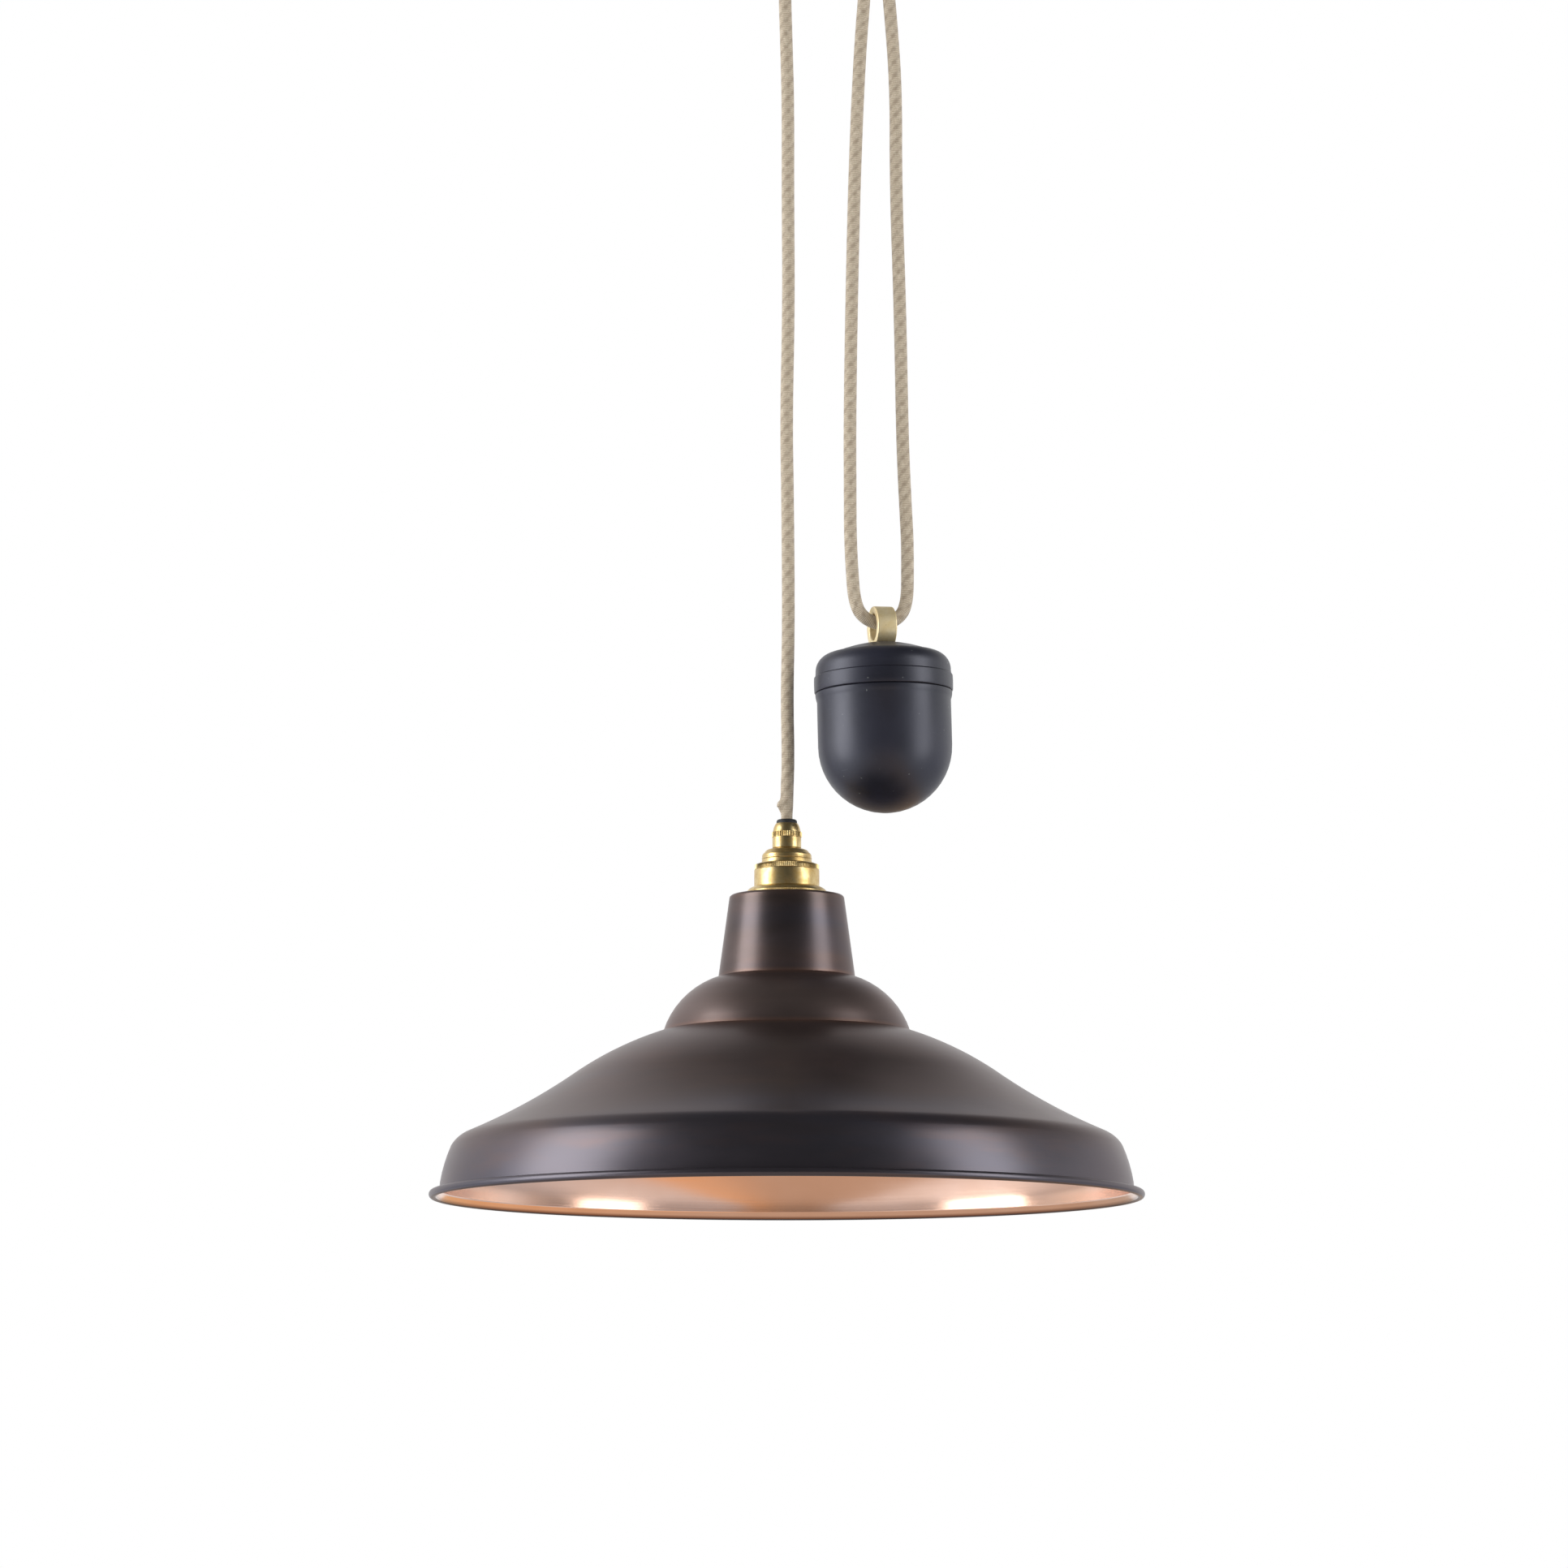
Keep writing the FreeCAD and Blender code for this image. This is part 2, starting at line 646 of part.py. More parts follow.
def ceiling_fitting():
    node(ceiling_plate(), "ceiling_plate")
    node(plate_tabs(), "plate_tabs")
    ceiling_cup()
    node(cup_screws(), "cup_screws")
    hanger()
    terminals()
    cord_grip("ceiling", "ceiling_grip")
    locknut = cut(hexagon("locknut_r", "locknut_height", "ceiling_grip",
                          ("0", "0", "-cup_wall - locknut_height")),
                  cylinder("nipple_r + 0.03", "locknut_height + 2", "ceiling_grip",
                           ("0", "0", "-cup_wall - locknut_height - 1")))
    node(locknut, "ceiling_grip_locknut")
    x, top = number("grip_x"), number("nipple_length - cup_floor")
    inner = number("-block_x + block_width / 2 - 3")
    level = number("-plate_wall - block_height / 2")
    way = number("way_pitch")
    wires("ceiling_core_wires",
          [(x, -1.7, top), (x, -1.7, top + 6), (x - 8, -8, top + 14), (x - 20, -10, level - 1),
           (x - 36, -9, level - 0.6), (inner + 8, -way, level), (inner, -way, level)],
          [(x, 1.7, top), (x, 1.7, top + 6), (x - 8, 8, top + 14), (x - 20, 10, level - 1),
           (x - 36, 9, level - 0.6), (inner + 8, way, level), (inner, way, level)],
          [(x + 2, 0, top), (x + 2, 0, top + 6), (x + 1, 9, top + 12), (x - 3, 18, level - 1.5),
           (number("post_x + 9"), number("post_y"), number("-plate_wall - 5")),
           (number("post_x + 1.5"), number("post_y"), number("-plate_wall - 5"))])


# ---------------------------------------------------------------- pulley
def pulley():
    """Grooved sheave on a bush and an axle between the yoke's cheeks."""
    sheave = turned([
        ("bush_r", "-sheave_half - 0.3"), ("hub_r", "-sheave_half - 0.3"), ("hub_r", "-web_half"),
        ("rim_inner_r", "-web_half"), ("rim_inner_r", "-sheave_half"), ("sheave_r - 1", "-sheave_half"),
        ("sheave_r", "-sheave_half + 1", "-0.29"), ("groove_r + 3", "-cord_r - 0.3"),
        ("groove_r + 3", "cord_r + 0.3", "3"), ("sheave_r", "sheave_half - 1"),
        ("sheave_r - 1", "sheave_half", "-0.29"), ("rim_inner_r", "sheave_half"),
        ("rim_inner_r", "web_half"), ("hub_r", "web_half"), ("hub_r", "sheave_half + 0.3"),
        ("bush_r", "sheave_half + 0.3")], "pulley")
    node(sheave, "sheave")
    bush = turned([
        ("axle_r + running_gap", "-sheave_half - 0.9"), ("bush_r", "-sheave_half - 0.9"),
        ("bush_r", "sheave_half + 0.9"), ("axle_r + running_gap", "sheave_half + 0.9")], "pulley")
    node(bush, "sheave_bush")
    head = "cheek + axle_head"
    axle = turned([
        ("0", "-(%s)" % head), ("axle_r - 0.6", "-(%s)" % head), ("axle_r", "-(%s) + 0.6" % head),
        ("axle_r", "-cheek - 1.2"), ("axle_r - 0.7", "-cheek - 1.2"), ("axle_r - 0.7", "-cheek - 0.2"),
        ("axle_r", "-cheek - 0.2"), ("axle_r", "cheek"), ("axle_head_r", "cheek"),
        ("axle_head_r", "%s - 0.8" % head), ("axle_head_r - 0.8", head, "0.2"), ("0", head)], "pulley")
    node(axle, "pulley_axle")
    clip = cut(cylinder("axle_r + 2", "0.9", "pulley", ("0", "0", "-cheek - 1.15")),
               cylinder("axle_r - 0.65", "3", "pulley", ("0", "0", "-cheek - 2")),
               box("axle_r + 4", "2.6", "3", "pulley", ("0", "-1.3", "-cheek - 2")))
    node(clip, "axle_clip")
    top, foot = "-yoke_seat", "-axle_drop - yoke_width / 2"
    inner = "yoke_gap / 2"
    round_in = "(yoke_bend - yoke_wall)"
    body = doc.addObject("PartDesign::Body", "Yoke")
    pad(body, "YZ_Plane", "yoke_width", [
        ("-cheek", foot), ("-" + inner, foot), ("-" + inner, "-yoke_seat - yoke_bend"),
        ("-%s + %s" % (inner, round_in), "-yoke_seat - yoke_wall", round_in + QUARTER),
        ("%s - %s" % (inner, round_in), "-yoke_seat - yoke_wall"),
        (inner, "-yoke_seat - yoke_bend", round_in + QUARTER), (inner, foot), ("cheek", foot),
        ("cheek", "-yoke_seat - yoke_bend"), ("cheek - yoke_bend", top, "-yoke_bend" + QUARTER),
        ("-cheek + yoke_bend", top), ("-cheek", "-yoke_seat - yoke_bend", "-yoke_bend" + QUARTER)],
        middle=True)
    wide, deep = "yoke_width / 2 + 2", "-axle_drop - yoke_width / 2 - 2"
    pocket(body, "XZ_Plane", [
        ("-(%s)" % wide, deep), (wide, deep), (wide, "-axle_drop"), ("yoke_width / 2", "-axle_drop"),
        ("-yoke_width / 2", "-axle_drop", "yoke_width / 2"), ("-(%s)" % wide, "-axle_drop")],
        middle=True)
    pocket(body, "XZ_Plane", disc("axle_r + 0.05", "0", "-axle_drop"), middle=True)
    pocket(body, "XY_Plane", disc("stud_r + 0.2"))
    seat(body, "ceiling")
    node(body, "pulley_yoke")


# ---------------------------------------------------------------- lampholder
def lampholder():
    """Brass bayonet lampholder: cap, milled ring, skirt, flange, barrel, shell and sprung contacts."""
    cord_grip("lamp", "lamp_grip")
    locknut = cut(hexagon("locknut_r", "locknut_height", "lamp_grip",
                          ("0", "0", "-cap_wall - locknut_height")),
                  cylinder("nipple_r + 0.03", "locknut_height + 2", "lamp_grip",
                           ("0", "0", "-cap_wall - locknut_height - 1")))
    node(locknut, "lamp_grip_locknut")
    inner = "drum_r - cap_wall"
    cap = turned([
        ("nipple_r + 0.1", "grip_seat"), ("cap_top_r", "grip_seat"), ("drum_r", "dome_seat", "cap_bulge"),
        ("drum_r", "drum_seat - 0.7"), ("union_r - 2.2", "drum_seat - 0.7"), ("union_r - 2.2", "flange_seat"),
        (inner, "flange_seat"), (inner, "dome_seat"),
        ("cap_top_r", "grip_seat - cap_wall", "-cap_bulge"), ("nipple_r + 0.1", "grip_seat - cap_wall")],
        "lamp")
    node(cap, "holder_cap")
    ring = turned([
        ("drum_r + 0.15", "drum_seat"), ("union_r", "drum_seat"), ("union_r", "union_seat"),
        ("union_r - 2", "union_seat"), ("union_r - 2", "drum_seat - 0.7"),
        ("drum_r + 0.15", "drum_seat - 0.7")], "lamp")
    node(ring, "union_ring")
    skirt = turned([
        ("skirt_r - skirt_wall", "skirt_seat"), ("skirt_r", "skirt_seat"), ("skirt_r", "union_seat"),
        ("skirt_r - skirt_wall", "union_seat")], "lamp")
    node(skirt, "holder_skirt")
    flange = turned([
        ("barrel_r + 0.1", "shade_height"), ("flange_r", "shade_height"),
        ("flange_r", "shade_height + flange_edge"), ("flange_top_r", "skirt_seat", "-0.4"),
        ("barrel_r + 0.1", "skirt_seat")], "lamp")
    node(flange, "shade_flange")
    barrel = turned([
        ("barrel_bore", "shade_height - barrel_drop"), ("barrel_r", "shade_height - barrel_drop"),
        ("barrel_r", "flange_seat - 1.4"), ("union_r - 2.2", "flange_seat - 1.4"),
        ("union_r - 2.2", "flange_seat"), ("barrel_bore", "flange_seat")], "lamp")
    node(barrel, "socket_barrel")
    clamp = turned([
        ("barrel_r + 0.1", "shade_height - shade_wall - shade_ring_height"),
        ("barrel_r + 2.4", "shade_height - shade_wall - shade_ring_height"),
        ("barrel_r + 2.4", "shade_height - shade_wall - 1.6"),
        ("shade_ring_r", "shade_height - shade_wall - 1.6"), ("shade_ring_r", "shade_height - shade_wall"),
        ("barrel_r + 0.1", "shade_height - shade_wall")], "lamp")
    node(clamp, "shade_ring")
    node(bayonet_shell(), "bayonet_shell")
    contacts()


def bayonet_shell():
    """Brass shell with a turned-out lip and two J-shaped slots for the lamp's pins."""
    deep = "shell_mouth + 1 + socket_depth"
    body = turned([
        ("socket_r + 0.6", "shell_mouth"), ("shell_r + 0.8", "shell_mouth"),
        ("shell_r + 0.8", "shell_mouth + 1"), ("shell_r", "shell_mouth + 1.8"),
        ("shell_r", "insulator_seat"), ("socket_r + 0.6", "insulator_seat"),
        ("socket_r + 0.6", deep + " + 0.6"), ("socket_r", deep), ("socket_r", "shell_mouth + 1")], "lamp")
    half, top = "slot_width / 2", "shell_mouth + slot_rise + slot_width / 2"
    step = "shell_mouth + slot_rise - slot_width / 2"
    slot = [("-" + half, "shell_mouth - 1"), (half, "shell_mouth - 1"), (half, step),
            ("slot_turn - slot_width", step), ("slot_turn - slot_width", step + " - 1.2"),
            ("slot_turn", step + " - 1.2", "-" + half), ("slot_turn", top), ("-" + half, top)]
    feature = pocket(body, "XZ_Plane", slot, length="shell_r + 3")
    pattern = body.newObject("PartDesign::PolarPattern", "Slots")
    pattern.Originals = [feature]
    pattern.Axis = ([axis for axis in body.Origin.OriginFeatures if axis.Role == "Z_Axis"][0], [""])
    pattern.Angle = 360
    pattern.Occurrences = 2
    body.Tip = pattern
    doc.recompute()
    return body


def contacts():
    """Porcelain insulator with two bores, each with a plunger, its spring and a terminal."""
    base = cylinder("shell_r - 0.05", "insulator_height", "lamp", ("0", "0", "insulator_seat"))
    bores, terminals_made, screws = [], [], []
    for side, name in (("-", "left"), ("", "right")):
        x = side + "contact_x"
        bores.append(cylinder("plunger_tip_r + 0.06", "3", "lamp", (x, "0", "insulator_seat - 1")))
        bores.append(cylinder("plunger_r + 0.06", "insulator_height", "lamp", (x, "0", "plunger_seat")))
        body = turned([
            ("0", "plunger_seat - 1.1 - plunger_reach"),
            ("plunger_tip_r", "plunger_seat - 0.5 - plunger_reach", "-0.5"),
            ("plunger_tip_r", "plunger_seat + 0.1"), ("plunger_r", "plunger_seat + 0.1"),
            ("plunger_r", "spring_seat"), ("0", "spring_seat")], "lamp")
        seat(body, "lamp", (x, "0", "0"))
        node(body, "plunger_" + name)
        spring = cut(cylinder("plunger_r - 0.2", "spring_height - 0.1", "lamp",
                              (x, "0", "spring_seat + 0.05")),
                     cylinder("plunger_r - 0.9", "spring_height + 2", "lamp", (x, "0", "spring_seat - 1")))
        node(spring, "plunger_spring_" + name)
        post = cylinder("plunger_r", "5", "lamp", (x, "0", "terminal_seat"))
        hole = cylinder("core_r + 0.1", "2.5", "lamp", (x, "0", "terminal_seat + 3"))
        terminals_made.append(cut(post, hole))
        screws.append(cylinder("1.2", "4", "lamp", (x, "-plunger_r - 4.1", "terminal_seat + 1.5"),
                               ("1; 0; 0", "-90")))
    screw_bores = [cylinder("1.25", "6", "lamp", (side + "contact_x", "-plunger_r - 5",
                                                   "terminal_seat + 1.5"), ("1; 0; 0", "-90"))
                   for side in ("-", "")]
    node(cut(base, *bores, *screw_bores), "insulator")
    node(group(*terminals_made), "socket_terminals")
    node(group(*screws), "socket_terminal_screws")
    centre, high = -number("lamp_x"), number("grip_seat - nipple_length - rim_drop")
    low, reach = number("terminal_seat + 3.2 - rim_drop"), number("contact_x")
    wires("lamp_core_wires", *[
        [(centre + side * 1.6, 0, high), (centre + side * 1.6, 0, high - 1.6),
         (centre + side * reach, 0, low + 2.7), (centre + side * reach, 0, low)]
        for side in (-1, 1)])


# ---------------------------------------------------------------- shade
def headings(start, end):
    """Angles at which a line or an arc leaves a point and arrives at the next."""
    across, along = number("(%s) - (%s)" % (end[0], start[0])), number("(%s) - (%s)" % (end[1], start[1]))
    chord = math.atan2(along, across)
    lift = 2 * math.atan2(2 * number(end[2]), math.hypot(across, along)) if len(end) > 2 else 0
    return chord + lift, chord - lift


def lined(points, wall):
    """The same outline moved to the right of its walk by a wall, with its arcs on the same centres."""
    runs = [headings(start, end) for start, end in zip(points, points[1:])]
    line = []
    for index, point in enumerate(points):
        before = runs[index - 1][1] if index else runs[0][0]
        after = runs[index][0] if index < len(runs) else runs[-1][1]
        middle, reach = (before + after) / 2, 1 / math.cos((after - before) / 2)
        moved = ["(%s) + %.6f * %s" % (point[0], math.sin(middle) * reach, wall),
                 "(%s) + %.6f * %s" % (point[1], -math.cos(middle) * reach, wall)]
        if len(point) > 2:
            start = points[index - 1]
            across, along = (number("(%s) - (%s)" % (point[axis], start[axis])) for axis in (0, 1))
            rise = number(point[2])
            radius = (math.hypot(across, along) ** 2 / 4 + rise ** 2) / (2 * rise)
            moved.append("(%s) * (1 - %s / %.6f)" % (point[2], wall, radius))
        line.append(tuple(moved))
    return line


def shade():
    """Spun sheet in five bands: flat top, tapering neck, dome, hollow cone, and the apron with its rim
    curled round a wire."""
    curl = "rim_wire_r"
    outside = [
        ("barrel_r + 0.3", "shade_height"), ("neck_top_r - neck_corner", "shade_height"),
        ("neck_top_r", "shade_height - neck_corner", "neck_corner" + QUARTER),
        ("neck_foot_r", "neck_foot"), ("dome_foot_r", "dome_foot", "dome_bulge"),
        ("bend_r", "bend_height", "upper_bulge"), ("shoulder_r", "shoulder", "-lower_hollow"),
        ("apron_r", "apron", "shoulder_bulge"), ("apron_foot_r", "apron_foot", "apron_bulge"),
        ("bead_r - bead_outer - 1.6", "bead_outer + 2.6"),
        ("bead_r - %s * cos(45)" % curl, "bead_outer - %s * sin(45)" % curl),
        ("bead_r + %s * cos(10)" % curl, "bead_outer + %s * sin(10)" % curl, "-0.6993 * " + curl),
        ("bead_r - %s * cos(25)" % curl, "bead_outer + %s * sin(25)" % curl, "-0.6993 * " + curl)]
    inside = lined(outside, "shade_wall")
    for label, first, last in (("shade_top", 0, 2), ("shade_neck", 2, 3), ("shade_dome", 3, 4),
                               ("shade_cone", 4, 6), ("shade_apron", 6, 12)):
        outline = [outside[first][:2]] + outside[first + 1:last + 1] + [inside[last][:2]]
        for index in range(last - 1, first - 1, -1):
            back = inside[index][:2]
            if len(inside[index + 1]) > 2:
                back += ("-(%s)" % inside[index + 1][2],)
            outline.append(back)
        node(turned(outline, "lamp"), label)
    wire = doc.addObject("Part::Torus", "RimWire")
    bind(wire, Radius1="bead_r", Radius2="rim_wire_r - wire_gap")
    seat(wire, "lamp", ("0", "0", "bead_outer"))
    node(wire, "rim_wire")


# ---------------------------------------------------------------- counterweight
def counterweight():
    """Cast bowl, screwed band and domed cap round a ballast, hung from a ring with a threaded shank."""
    inner = "(weight_r - body_wall)"
    body = turned([
        ("0", "0"), ("weight_r", "weight_r", "-weight_r" + QUARTER), ("weight_r", "body_shoulder"),
        ("body_top_r", "body_top", "-0.25"), ("spigot_wall_r", "body_top"),
        ("spigot_wall_r", "body_top + spigot_height"), (inner, "body_top + spigot_height"),
        (inner, "weight_r"), ("0", "body_wall", inner + QUARTER)], "weight")
    node(body, "weight_body")
    gap = "(body_wall + ballast_gap)"
    core = "(weight_r - %s)" % gap
    top = "body_top + spigot_height - 1"
    ballast = turned([
        ("0", gap), (core, "weight_r", "-" + core + QUARTER), (core, top), ("shank_nut_r + 2.5", top),
        ("shank_nut_r + 2.5", top + " - 12"), ("0", top + " - 12")], "weight")
    node(ballast, "weight_ballast")
    band = turned([
        ("spigot_wall_r + 0.05", "body_top"), ("weight_band_r", "body_top"),
        ("weight_band_r", "band_top", "-band_bulge"), ("spigot_wall_r + 0.05", "band_top")], "weight")
    node(band, "weight_band")
    blank = turned([
        ("shank_r + 0.1", "cap_seat - spigot_height"), ("spigot_wall_r", "cap_seat - spigot_height"),
        ("spigot_wall_r", "cap_seat"), ("cap_r", "cap_seat"), ("cap_r - 0.3", "cap_seat + cap_side"),
        ("cap_shoulder_r", "cap_shoulder", "-shoulder_round"),
        ("shank_r + 0.1", "cap_crown", "-crown_bulge")], "weight")
    saddle = cylinder("ring_r + 0.05", "2 * ring_half + 0.2", "ring", ("-ring_half - 0.1", "0", "0"),
                      ("0; 1; 0", "90"))
    node(cut(blank, saddle), "weight_cap")
    edge = "ring_half - ring_round"
    ring = turned([
        ("-ring_half", "ring_hole_r + ring_round"),
        ("-(%s)" % edge, "ring_hole_r", "-ring_round" + QUARTER), (edge, "ring_hole_r"),
        ("ring_half", "ring_hole_r + ring_round", "-ring_round" + QUARTER),
        ("ring_half", "ring_r - ring_round / 2"),
        ("ring_half - ring_round / 2", "ring_r", "-ring_round / 2" + QUARTER),
        ("-ring_half + ring_round / 2", "ring_r"),
        ("-ring_half", "ring_r - ring_round / 2", "-ring_round / 2" + QUARTER)], "ring", axis="H_Axis")
    add_turned(ring, rectangle("0", "shank_r", "-ring_r - shank_length + 12.5", "-ring_hole_r - 1.5"))
    node(ring, "weight_ring")
    under = "cap_seat - spigot_height - shank_nut"
    nut = cut(hexagon("shank_nut_r", "shank_nut", "weight", ("0", "0", under)),
              cylinder("shank_r + 0.03", "shank_nut + 2", "weight", ("0", "0", under + " - 1")))
    node(nut, "ring_nut")


# ---------------------------------------------------------------- the free cord
def hanging(top, foot, bends):
    """A stretch that starts straight down and then leaves the straight line to its foot by small bends,
    each a share of the way down with its offsets along X and Y."""
    way = foot - top
    line = [top, top - Vector(0, 0, 25)]
    line += [top + way * share + Vector(across, deep, 0) for share, across, deep in bends]
    return [tuple(point) for point in line + [foot]]


def free_cord():
    """Lamp strand, the half turn over the pulley, the two strands of the weight and the bight in its ring."""
    pitch, axle = number("pitch_r"), -number("axle_drop")
    over = doc.addObject("Part::Torus", "Over")
    bind(over, Radius1="pitch_r", Radius2="cord_r")
    over.Angle3 = 180
    seat(over, "pulley")
    node(over, "cord_over_pulley")
    lamp_x, lamp_end = -number("lamp_x"), number("grip_seat + grip_length - rim_drop")
    cord("lamp_strand", hanging(Vector(-pitch, 0, axle), Vector(lamp_x, 0, lamp_end + 15), [
        (0.1271, 1.12, 0), (0.1926, 1.93, 0), (0.3047, 1.67, 0), (0.4262, 2.00, 0), (0.5665, 0.31, 0),
        (0.6506, 0.99, 0), (0.8039, 1.37, 0), (0.8861, 0.26, 0), (0.9609, 0.95, 0)])
         + [(lamp_x, 0, lamp_end)])
    ring = Vector(number("ring_x"), 0, -number("ring_drop"))
    yaw = math.radians(number("ring_yaw"))

    def near_ring(along, up):
        """A point of the bight, measured along the ring's axis and up from its centre."""
        return (ring.x + along * math.cos(yaw), ring.y + along * math.sin(yaw), ring.z + up)

    bight = [near_ring(-18.4, 26.3), near_ring(-17.4, 12.6), near_ring(-9.6, 3.6), near_ring(2.9, 1.9),
             near_ring(12.8, 7.9), near_ring(16.1, 18.7), near_ring(16.2, 26.3)]
    cord("cord_bight", bight)
    cord("weight_strand_pulley_side", hanging(Vector(pitch, 0, axle), Vector(*near_ring(-20.0, 48.2)), [
        (0.1697, -1.68, 0.48), (0.3472, -3.09, 0.80), (0.5690, -3.14, 0.95), (0.7909, -2.30, 1.10),
        (0.9084, -1.01, 0.31)]) + [bight[0]])
    fixed = Vector(number("grip_x"), 0, -number("grip_drop"))
    cord("weight_strand_fixed_side", hanging(fixed, Vector(*near_ring(16.5, 49.1)), [
        (0.1641, 2.05, -0.50), (0.2936, 3.79, -0.85), (0.4402, 1.29, -1.08), (0.6478, 0.91, -1.17),
        (0.8432, -0.79, -0.80), (0.9506, -0.23, -0.06)]) + [bight[-1]])


# ---------------------------------------------------------------- build, test and write
ceiling_fitting()
pulley()
lampholder()
shade()
counterweight()
free_cord()
doc.recompute()

for item in doc.Objects:
    if "Invalid" in item.State or "Error" in item.State:
        raise RuntimeError("%s (%s) failed: %s" % (item.Name, item.Label, item.State))
os.makedirs("parts", exist_ok=True)
for item in NODES:
    shape = item.Shape
    if shape.isNull() or not shape.isValid() or not shape.Solids:
        raise RuntimeError("%s has no valid shape" % item.Label)
    shape.exportStep("parts/%s.step" % item.Label)
print(len(NODES), "sub-parts")
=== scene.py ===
import math

import bpy
from mathutils import Matrix, Vector, noise


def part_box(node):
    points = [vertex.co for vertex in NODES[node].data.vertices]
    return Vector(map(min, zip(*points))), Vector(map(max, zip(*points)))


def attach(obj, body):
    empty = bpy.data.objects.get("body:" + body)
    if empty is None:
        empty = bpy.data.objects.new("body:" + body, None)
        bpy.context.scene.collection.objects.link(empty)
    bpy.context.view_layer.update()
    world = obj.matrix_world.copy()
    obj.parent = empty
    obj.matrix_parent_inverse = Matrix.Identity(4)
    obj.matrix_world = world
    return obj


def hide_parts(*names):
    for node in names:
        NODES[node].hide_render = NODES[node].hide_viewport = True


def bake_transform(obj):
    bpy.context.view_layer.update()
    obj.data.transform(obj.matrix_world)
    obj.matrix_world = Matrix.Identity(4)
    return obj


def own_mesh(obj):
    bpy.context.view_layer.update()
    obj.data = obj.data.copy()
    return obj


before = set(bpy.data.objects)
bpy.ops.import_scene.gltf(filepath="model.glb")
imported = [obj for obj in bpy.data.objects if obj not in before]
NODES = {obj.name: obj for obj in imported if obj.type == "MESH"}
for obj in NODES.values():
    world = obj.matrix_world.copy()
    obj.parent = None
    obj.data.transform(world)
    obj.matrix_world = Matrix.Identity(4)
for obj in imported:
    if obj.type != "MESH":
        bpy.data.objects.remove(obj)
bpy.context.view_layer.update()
SCENE = bpy.context.scene


# ---------------------------------------------------------------- places of the pendant's parts
def place(at, turns=()):
    """From a part's own millimetres to the pendant's metres."""
    matrix = Matrix.Translation(Vector(at) * 0.001)
    for angle, axis in turns:
        matrix = matrix @ Matrix.Rotation(math.radians(angle), 4, axis)
    return matrix @ Matrix.Scale(0.001, 4)


AXLE_Z, LAY_R = -82, 25.2    # height of the pulley's axle, radius of the cord's middle on the sheave
PULLEY = place((0, 0, AXLE_Z), [(90, "X")])
LAMP = place((-23.8, 0, -862.4))
LAMP_GRIP = place((-23.8, 0, -650.4))
CEILING_GRIP = place((36, 0, -36.3), [(180, "Y")])
RING_AT, RING_YAW = (34.4, 0, -513.3), 15
RING = place(RING_AT, [(-1.3, "Y"), (RING_YAW, "Z")])
WEIGHT = RING @ Matrix.Translation((0, 0, -114.2))
CORD_R = 3.9
TINY = 1e-6

# What the materials measure is in metres: heights of the shade's edges, and once round the cord.
NECK_TOP, NECK_FOOT, DOME_FOOT = -0.6798, -0.7280, -0.7610
GIRTH = 0.0245


# ---------------------------------------------------------------- camera, lights and floor
def camera_and_studio():
    """A long lens a little below the rim, tipped up, and a tall soft box on either side."""
    pitch = 8.12
    lens = bpy.data.cameras.new("Camera")
    lens.lens = 120
    lens.sensor_width = 36
    eye = bpy.data.objects.new("Camera", lens)
    eye.location = (-0.0255, -3.147, -1.0589)
    eye.rotation_euler = (math.radians(90 + pitch), 0, 0)
    SCENE.collection.objects.link(eye)
    SCENE.camera = eye
    SCENE.view_settings.view_transform = "Standard"
    aim = Vector((0, 0, -0.72))
    for name, at, width, height, watts in (
            ("Left soft box", (-2.05, -0.50, -0.25), 1.30, 2.2, 46),
            ("Right soft box", (1.95, -0.85, -0.25), 1.05, 2.2, 28)):
        lamp = bpy.data.lights.new(name, "AREA")
        lamp.shape = "RECTANGLE"
        lamp.size, lamp.size_y = width, height
        lamp.energy = watts
        box = bpy.data.objects.new(name, lamp)
        box.location = at
        box.rotation_euler = (aim - Vector(at)).to_track_quat("-Z", "Y").to_euler()
        SCENE.collection.objects.link(box)


def add(tree, kind, inputs=None, **settings):
    """Add a node with its settings; an input is a value or the socket that feeds it."""
    made = tree.nodes.new(kind)
    for name, value in settings.items():
        setattr(made, name, value)
    for name, value in (inputs or {}).items():
        if isinstance(value, bpy.types.NodeSocket):
            tree.links.new(value, made.inputs[name])
        else:
            made.inputs[name].default_value = value
    return made


def seen_directly(tree):
    """1 where the eye sees a surface straight, in a reflection or through glass."""
    path = add(tree, "ShaderNodeLightPath").outputs
    either = add(tree, "ShaderNodeMath", {0: path["Is Camera Ray"], 1: path["Is Glossy Ray"]},
                 operation="MAXIMUM")
    return add(tree, "ShaderNodeMath", {0: either.outputs[0], 1: path["Is Transmission Ray"]},
               operation="MAXIMUM").outputs[0]


